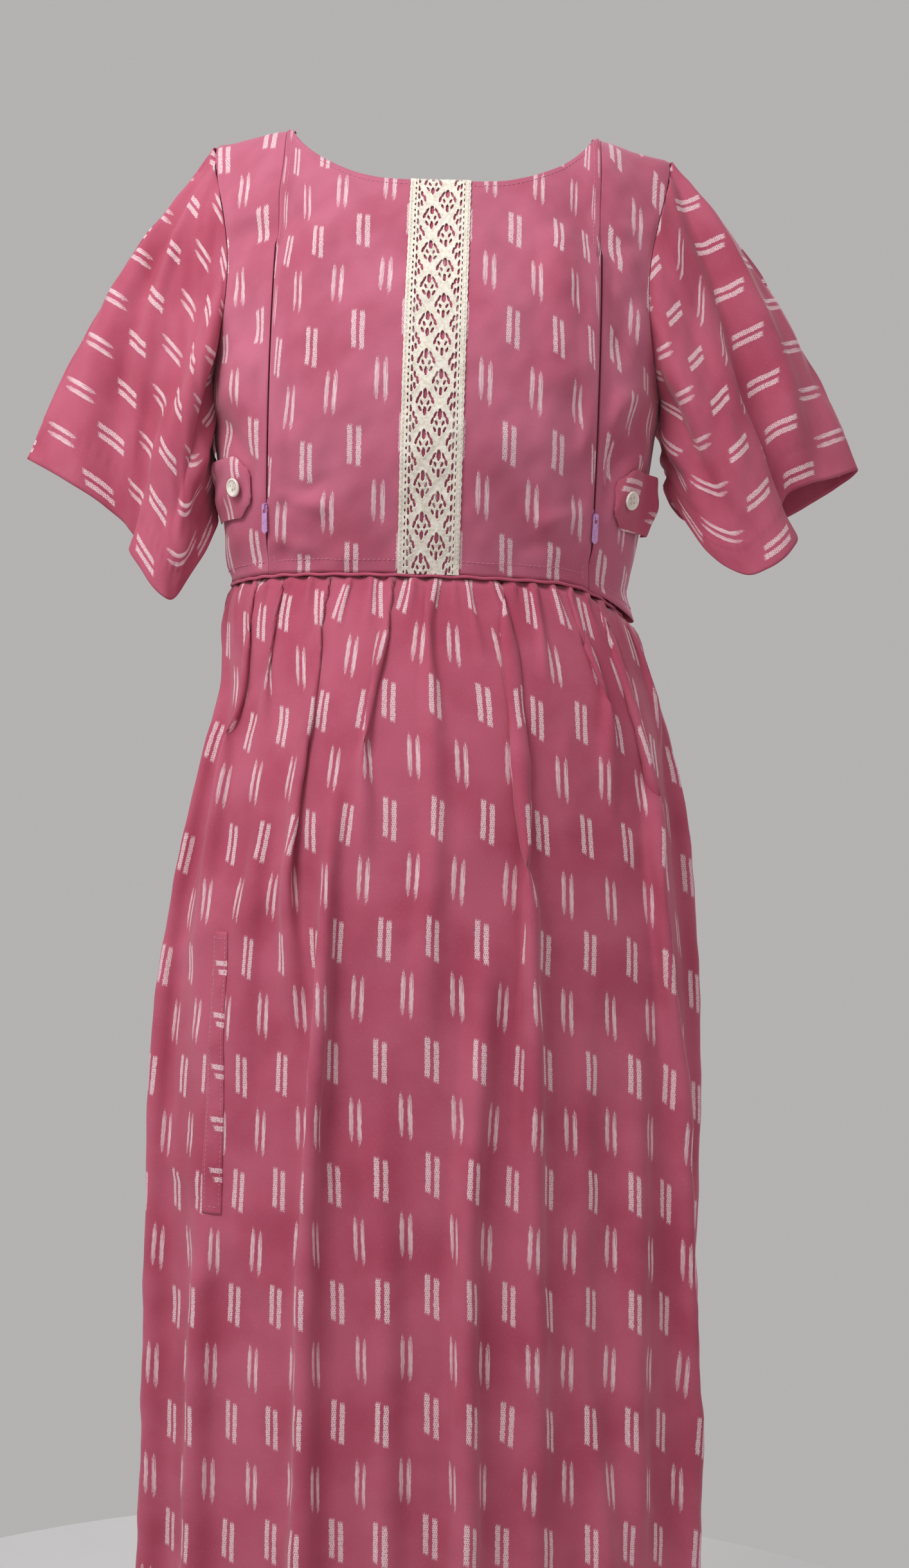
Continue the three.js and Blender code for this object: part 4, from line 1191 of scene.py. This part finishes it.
def build_belt(name, side):
    """A turned band of double cloth from the side seam to its button."""
    start, end = math.radians(84), math.radians(55)
    s = np.linspace(0, 1, 90)
    w = np.linspace(-1, 1, 34)[:, None]
    taper = 1 - 0.45 * smooth(s, 0.72, 1.0)
    tip = 1 - 0.5 * smooth(s, 0.965, 1.0) * np.abs(w) ** 3
    level = BELT_LEVEL + 22.0 * w * taper * tip
    turn = side * lerp(start, end, s + 0 * w)
    pillow = 0.75 * (1 - np.abs(w) ** 6) * (1 - smooth(s, 0.97, 1.0))
    slack = 9.0 if side > 0 else 3.0
    bow = slack * np.exp(-(((s - 0.22) / 0.16) ** 2)) * (1 - 0.3 * w**2)
    fold = 1.2 * np.sin(w * 5.5 + s * 3 + side) * np.exp(-(((s - 0.3) / 0.25) ** 2))
    pucker = -0.5 * np.exp(-(((s - 0.76) / 0.05) ** 2) - (w / 0.4) ** 2)
    front, _ = on_cloth(True, np.sqrt(level), turn, 1.85 + pillow + bow + fold + pucker)
    if side < 0:
        front = front[:, ::-1]
    uv = flat_map(front, 45, 17)
    # The right belt's cross-grain cloth is in the darker pink, painted shade; the left belt's is the
    # bodice's pink.
    obj = grid_object(f"belt_{name}", front, uv, COTTON_CROSS if side > 0 else COTTON, thick=1.3)
    bevel_rim(obj)
    finish_cloth(obj, f"adjuster_belt_{name}", (0.085, 0.044), 0.0034)


def bevel_rim(obj):
    mod = obj.modifiers.new("rim", "BEVEL")
    mod.width = 0.45 * MM
    mod.segments = 3
    mod.limit_method = "ANGLE"
    mod.angle_limit = math.radians(50)


def seat_on(front, root, turn, lift):
    """A matrix in metres on the body: x across, y up and z outward."""
    p, n = on_body(front, root, turn)
    step = 1e-3
    right = body_point(front, root, turn + step) - body_point(front, root, turn - step)
    right /= np.linalg.norm(right)
    up = np.cross(n, right)
    at = (p + n * lift) * MM
    return Matrix([(*row, 0) for row in (right, up, n)] + [(*at, 1)]).transposed()


def lathe(name, profile, material, sides=56):
    verts, faces = [], []
    for r, z in profile:
        for a in np.linspace(0, 2 * math.pi, sides + 1)[:-1]:
            verts.append((r * math.cos(a), r * math.sin(a), z))
    for i in range(len(profile) - 1):
        for k in range(sides):
            a, b = i * sides + k, i * sides + (k + 1) % sides
            faces.append((a, b, b + sides, a + sides))
    obj = object_from(name, verts, faces, material)
    edit_mesh(obj.data, merge_close, face_outward)
    return obj


def drill_holes(button):
    """Cuts the four holes and leaves the button as a plain mesh."""
    cutters = []
    for dx, dy in ((-1, -1), (-1, 1), (1, -1), (1, 1)):
        walls = [(0, -3), (HOLE_RADIUS, -3), (HOLE_RADIUS, 3), (0, 3)]
        hole = lathe("hole", walls, PEARL, sides=20)
        hole.data.transform(Matrix.Translation((dx * HOLE_AT * MM, dy * HOLE_AT * MM, 0)))
        cutters.append(hole)
    for hole in cutters:
        mod = button.modifiers.new("hole", "BOOLEAN")
        mod.operation, mod.object, mod.solver = "DIFFERENCE", hole, "EXACT"
    bpy.context.view_layer.update()
    shaped = button.evaluated_get(bpy.context.evaluated_depsgraph_get())
    mesh = bpy.data.meshes.new_from_object(shaped)
    button.modifiers.clear()
    button.data = mesh
    for hole in cutters:
        bpy.data.objects.remove(hole)


def crossed_plies():
    """The thread's four plies: up through one hole, over, and down through the opposite one."""
    pieces = []
    for shift in (-0.22, 0.22):
        for way in (-1, 1):
            near = np.array([-HOLE_AT, -HOLE_AT * way])
            off = np.array([way, -1.0]) * shift * 0.7
            stops = ((near, -3.2), (near, 0.3), (0 * near, 0.75), (-near, 0.3), (-near, -3.2))
            path = np.array([(*(at + off), z) for at, z in stops])
            fine = np.stack([np.interp(np.linspace(0, 4, 25), range(5), axis) for axis in path.T], -1)
            for _ in range(2):
                fine[1:-1] = (fine[:-2] + fine[2:] + 2 * fine[1:-1]) / 4
            pieces.append(tube("ply", fine, 0.22, THREAD_PALE, sides=7))
    return pieces


def build_button(name, side):
    """A four-hole pearl button with a raised rim, and the thread that crosses its holes."""
    rim = [(0, -1.2), (5.6, -1.2), (6.6, -0.9), (7.0, -0.2), (6.95, 0.5), (6.6, 1.0), (6.1, 1.2)]
    rim += [(5.6, 1.1), (5.1, 0.75), (4.6, 0.45), (3.4, 0.3), (1.6, 0.25), (0, 0.25)]
    button = lathe(f"button_{name}", rim, PEARL)
    drill_holes(button)
    root, turn = BELT_LEVEL**0.5, side * BUTTON_TURN
    p = body_point(True, root, turn)
    lift = max(4.1 + float(front_wrinkle(p[0], p[2])), 3.9) + 0.8
    seat = seat_on(True, root, turn, lift) @ Matrix.Rotation(BUTTON_SPIN, 4, "Z")
    button.data.transform(seat)
    dress(button, f"belt_button_{name}")
    thread = join_objects(f"button_thread_{name}", crossed_plies())
    thread.data.transform(seat)
    dress(thread, f"button_shank_{name}")


def join_objects(name, pieces):
    """One object from several that share a material."""
    material = pieces[0].data.materials[0]
    mesh = bpy.data.meshes.new(name)
    bm = bmesh.new()
    for piece in pieces:
        bm.from_mesh(piece.data)
        bpy.data.objects.remove(piece)
    bm.to_mesh(mesh)
    bm.free()
    return add_object(name, mesh, material)


def build_tab():
    """A blank ribbon folded double and caught in the left side seam."""
    low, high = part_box("side_tab")
    x0, x1 = high[0] / MM, low[0] / MM
    z0, z1 = low[2] / MM, high[2] / MM
    t = np.linspace(-1, 1, 41)
    out = lerp(x0 + 1.0, x1, 1 - np.abs(t) ** 3)
    gap = 0.42 * np.sign(t) * (np.abs(t) ** 0.35) + 0.25 * np.sin(t * 3)
    zs = np.linspace(z1, z0, 24)[:, None]
    sway = 0.5 * np.sin((zs - z0) / 9.0)
    open_side = 1 - np.abs(t)
    points = np.stack([out + 0 * zs, gap + sway * open_side, zs + 0 * out + 0.4 * open_side], -1)
    uv = flat_map(points, 20, 0)
    obj = grid_object("ribbon_tab", points, uv, NAVY, thick=0.35)
    finish_cloth(obj, "side_tab", (0.018, 0.02))


# ---------------------------------------------------------------- pocket
def grid_at(p, row, column):
    """Points of a grid at fractional rows and columns."""
    r0 = np.clip(np.floor(row).astype(int), 0, p.shape[0] - 2)
    c0 = np.clip(np.floor(column).astype(int), 0, p.shape[1] - 2)
    fr, fc = (row - r0)[..., None], (column - c0)[..., None]
    top = lerp(p[r0, c0], p[r0, c0 + 1], fc)
    low = lerp(p[r0 + 1, c0], p[r0 + 1, c0 + 1], fc)
    return lerp(top, low, fr)


def find_cell(p, x, z):
    """The fractional row and column of the skirt's front where it passes x and z."""
    front = p[..., 1] < 0
    miss = np.hypot(p[..., 0] - x, p[..., 2] - z) + np.where(front, 0, 1e6)
    r, c = np.unravel_index(np.argmin(miss), miss.shape)
    row = r + (p[r, c, 2] - z) / max(p[r, c, 2] - p[min(r + 1, len(p) - 1), c, 2], 0.1)
    column = c + (x - p[r, c, 0]) / (p[r, c + 1, 0] - p[r, c, 0])
    return row, column


def build_welt(p, n):
    """The pocket's welt, which lies on the skirt's cloth."""
    rows = 120
    zs = np.linspace(-WELT_TOP, -(WELT_TOP + WELT_LONG), 15)
    cells = np.array([find_cell(p, WELT_X, z) for z in zs])
    row = np.interp(np.linspace(0, 14, rows), range(15), cells[:, 0])[:, None]
    column = np.polyval(np.polyfit(cells[:, 0], cells[:, 1], 3), row)
    across = np.linspace(-1, 1, 17)
    spacing = np.linalg.norm(grid_at(p, row, column + 1) - grid_at(p, row, column - 1), axis=-1) / 2
    place = column + across * (WELT_WIDE / 2) / spacing
    points = grid_at(p, row + 0 * place, place)
    normal = grid_at(n, row + 0 * place, place)
    normal /= np.linalg.norm(normal, axis=-1, keepdims=True)
    v = np.linspace(0, 1, rows)[:, None]
    edge = 1 - np.abs(across) ** 8
    ends = smooth(v, 0, 0.012) * (1 - smooth(v, 0.988, 1))
    lift = 0.55 + 0.55 * edge * ends
    lift = lift - 0.3 * np.exp(-(((np.abs(across) - 0.76) / 0.08) ** 2))
    lift = lift + 0.12 * np.sin(v * 70 + across * 2)
    points = points + normal * lift[..., None]
    uv = flat_map(points, 8, 0)
    welt = grid_object("pocket_welt_band", points, uv, COTTON_CROSS, thick=0.7)
    finish_cloth(welt, "pocket_welt", (0.015, 0.202), 0.00303)
    return points, normal


def build_pocket_bag():
    """The bag hangs inside the skirt, behind the welt."""
    mouth_x = WELT_X - WELT_WIDE / 2 - 0.4
    root = math.sqrt(WELT_TOP)
    mouth = body_point(True, root, turn_at(mouth_x, WELT_TOP))
    far = body_point(True, root, turn_at(mouth_x - 62 * 0.66, WELT_TOP))
    angle = math.atan2(far[1] - mouth[1], far[0] - mouth[0])
    along = np.array([math.cos(angle), math.sin(angle), 0])
    inward = np.array([math.sin(angle), -math.cos(angle), 0])
    s = np.linspace(0, 2 * math.pi, 65)[:-1]
    v = np.linspace(0, 1, 60)[:, None]
    full = np.sin(math.pi * np.clip(v, 0.02, 0.98)) ** 0.35
    reach = 30.0 - 2.0 * (1 - full)
    flatter = np.sign(np.cos(s)) * np.abs(np.cos(s)) ** 0.6
    thick = 1.2 + 4.4 * full * (0.6 + 0.4 * np.sin(v * 5 + 1))
    q = (31.0 + reach * flatter)[..., None] * along
    q = q + (9.0 + thick * np.sin(s) + 0.8 * np.sin(v * 22 + flatter * 3))[..., None] * inward
    q = q + mouth
    q[..., 2] = -(WELT_TOP + 2.0) - 186.0 * v
    level = -q[..., 2]
    reach = np.hypot(q[..., 0] / half_width(level), q[..., 1] / depth(True, np.sqrt(level)))
    q[..., :2] *= np.minimum(1, 0.85 / reach)[..., None]
    q[..., 0] += SWAY * smooth(level, WAIST + 40, WAIST + 760)
    holes = np.zeros((59, 64), bool)
    holes[3:54, 31:34] = True
    uv = flat_map(np.concatenate([q, q[:, :1]], 1), 0, 0)
    bag = grid_object("pocket_bag_pouch", q, uv, COTTON_PLAIN, thick=0.4, ringed=True, holes=holes)
    finish_cloth(bag, "pocket_bag", (0.126, 0.186))


# ---------------------------------------------------------------- stitching
def seam_row(front, turn):
    """A line a little above the waist seam."""
    return on_cloth(front, np.sqrt(bodice_end(turn) ** 2 - 9.5), turn, 0.42)


def neck_row(front, deep):
    """A line round the neckline, just below its edge."""
    x = NECK_HALF * np.cos(np.linspace(0.02, math.pi - 0.02, 400))
    level = neck_level(x, deep, NECK_HALF) + 4.0
    return on_cloth(front, np.sqrt(level), turn_at(x, level), 0.42)


def pleat_rows(side):
    """The lines beside a zip's flap, above and below its slit, and the bar across its top."""
    rows = []
    for level in (np.linspace(4, ZIP_TOP - 8, 80), np.linspace(ZIP_END + 24, WAIST - 4, 30)):
        rows.append(front_cloth(side * (ZIP_X - 5.0), np.sqrt(level), 0.75))
    across = np.linspace(-5.5, 1.0, 14)
    rows.append(front_cloth(side * (ZIP_X + across), np.sqrt(ZIP_TOP - 6), 1.0))
    return rows


def raised(p, n, place):
    return p[place] + n[place] * 0.45, n[place]


def sew(name, lines, thread=None, **sizes):
    obj = stitches(f"stitch_{name}", lines, thread or THREAD, **sizes)
    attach(obj, "gown")


def build_stitches(skirt, welt, sleeves):
    xs = np.linspace(-ZIP_X + 2, ZIP_X - 2, 400)
    lines = [front_cloth(xs, np.sqrt(bodice_end(turn_at(xs, WAIST)) ** 2 - 9.5), 0.42)]
    for side in (-1, 1):
        start = float(turn_at(ZIP_X + 2.5, WAIST))
        lines.append(seam_row(True, side * np.linspace(start, 1.56, 90)))
    sew("bodice_front", lines + [neck_row(True, NECK_FRONT)])
    back = [seam_row(False, np.linspace(-1.56, 1.56, 500)), neck_row(False, NECK_BACK)]
    sew("bodice_back", back)
    lines = []
    for x in (-LACE_WIDTH / 2 + 1.6, LACE_WIDTH / 2 - 1.6):
        top = float(neck_level(x, NECK_FRONT, NECK_HALF)) + 2
        lines.append(front_cloth(x, np.sqrt(np.linspace(top, WAIST - 4, 500)), 1.85))
    sew("lace", lines, THREAD_PALE, length=2.2)
    sew("pleats", pleat_rows(-1) + pleat_rows(1))
    sew("skirt_hem", [raised(*skirt, -6)])
    lines = [raised(*welt, (slice(2, -2), c)) for c in (2, 14)]
    lines += [raised(*welt, (r, slice(2, 15))) for r in (3, -4)]
    sew("welt", lines, length=2.4)
    for name, cloth in sleeves.items():
        sew(f"sleeve_{name}", [raised(*cloth, int(SLEEVE_ROWS * SLEEVE_STITCH))])


# ---------------------------------------------------------------- carried-over CAD nodes
CAD_LOOKS = {
    "zip_tape": TAPE, "zip_coil": COIL, "zip_bottom_stop": LILAC, "zip_top_stop": LILAC,
    "zip_slider": LILAC, "zip_pull": LILAC,
}


def dress_cad():
    for node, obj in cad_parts.items():
        for prefix, material in CAD_LOOKS.items():
            if node.startswith(prefix):
                if not obj.material_slots:
                    obj.data.materials.append(material)
                for slot in obj.material_slots:
                    slot.material = material


# ---------------------------------------------------------------- room
def build_floor():
    material, n = new_material("floor")
    grain = n.noise(n.place(), 6.0, 3.0)
    n.finish(n.mix(grain, srgb(206, 206, 206), srgb(196, 196, 198)), 0.9)
    turns = np.linspace(0, 2 * math.pi, 97)[:-1]
    mesh = bpy.data.meshes.new("floor")
    ring = [(FLOOR_RADIUS * math.cos(a), FLOOR_RADIUS * math.sin(a), FLOOR_LEVEL) for a in turns]
    mesh.from_pydata(ring, [], [list(range(len(ring)))])
    add_object("floor", mesh, material)


def area_light(name, place, target, size, power):
    light = bpy.data.lights.new(name, "AREA")
    light.shape = "RECTANGLE"
    light.size, light.size_y = size
    light.energy = power
    obj = bpy.data.objects.new(name, light)
    obj.location = place
    aim = Vector(target) - Vector(place)
    obj.rotation_euler = aim.to_track_quat("-Z", "Y").to_euler()
    obj.visible_camera = False
    bpy.context.scene.collection.objects.link(obj)


def build_lights():
    area_light("key", (-0.9, -1.15, 0.95), (0, 0, -0.45), (0.8, 0.7), 25)
    area_light("fill", (1.9, -1.9, 0.3), (0, 0, -0.5), (1.8, 1.6), 4)
    area_light("side", (-2.2, -0.3, 0.2), (0, 0, -0.7), (1.2, 1.8), 7)
    area_light("rear", (1.0, 1.8, 0.9), (0, 0, -0.5), (1.2, 1.0), 26)
    world = bpy.data.worlds.new("room")
    world.use_nodes = True
    background = world.node_tree.nodes["Background"]
    background.inputs[0].default_value = (1.0, 0.97, 0.96, 1)
    background.inputs[1].default_value = 0.46
    bpy.context.scene.world = world


def build_camera():
    camera = bpy.data.cameras.new("camera")
    camera.lens = 45
    camera.sensor_width = 36
    obj = bpy.data.objects.new("camera", camera)
    obj.location = (0.0239, -1.5, -0.494)
    roll = Matrix.Rotation(math.radians(CAMERA_ROLL), 4, "Z")
    obj.rotation_euler = (Matrix.Rotation(math.radians(90), 4, "X") @ roll).to_euler()
    bpy.context.scene.collection.objects.link(obj)
    bpy.context.scene.camera = obj


bpy.context.scene.view_settings.view_transform = "Standard"
build_camera()
build_lights()
build_floor()
dress_cad()
build_centre_panel()
build_side_panel("left", -1)
build_side_panel("right", 1)
build_back_panel()
build_facing("front", True)
build_facing("back", False)
build_lace()
skirt_cloth = build_skirt()
build_waist_piping()
drapes = {
    "left": build_sleeve("left", -1, LEFT_HEM),
    "right": build_sleeve("right", 1, RIGHT_HEM),
}
for side_name, side_sign in (("left", -1), ("right", 1)):
    build_belt(side_name, side_sign)
    build_button(side_name, side_sign)
build_tab()
welt_cloth = build_welt(*skirt_cloth)
build_pocket_bag()
build_stitches(skirt_cloth, welt_cloth, drapes)
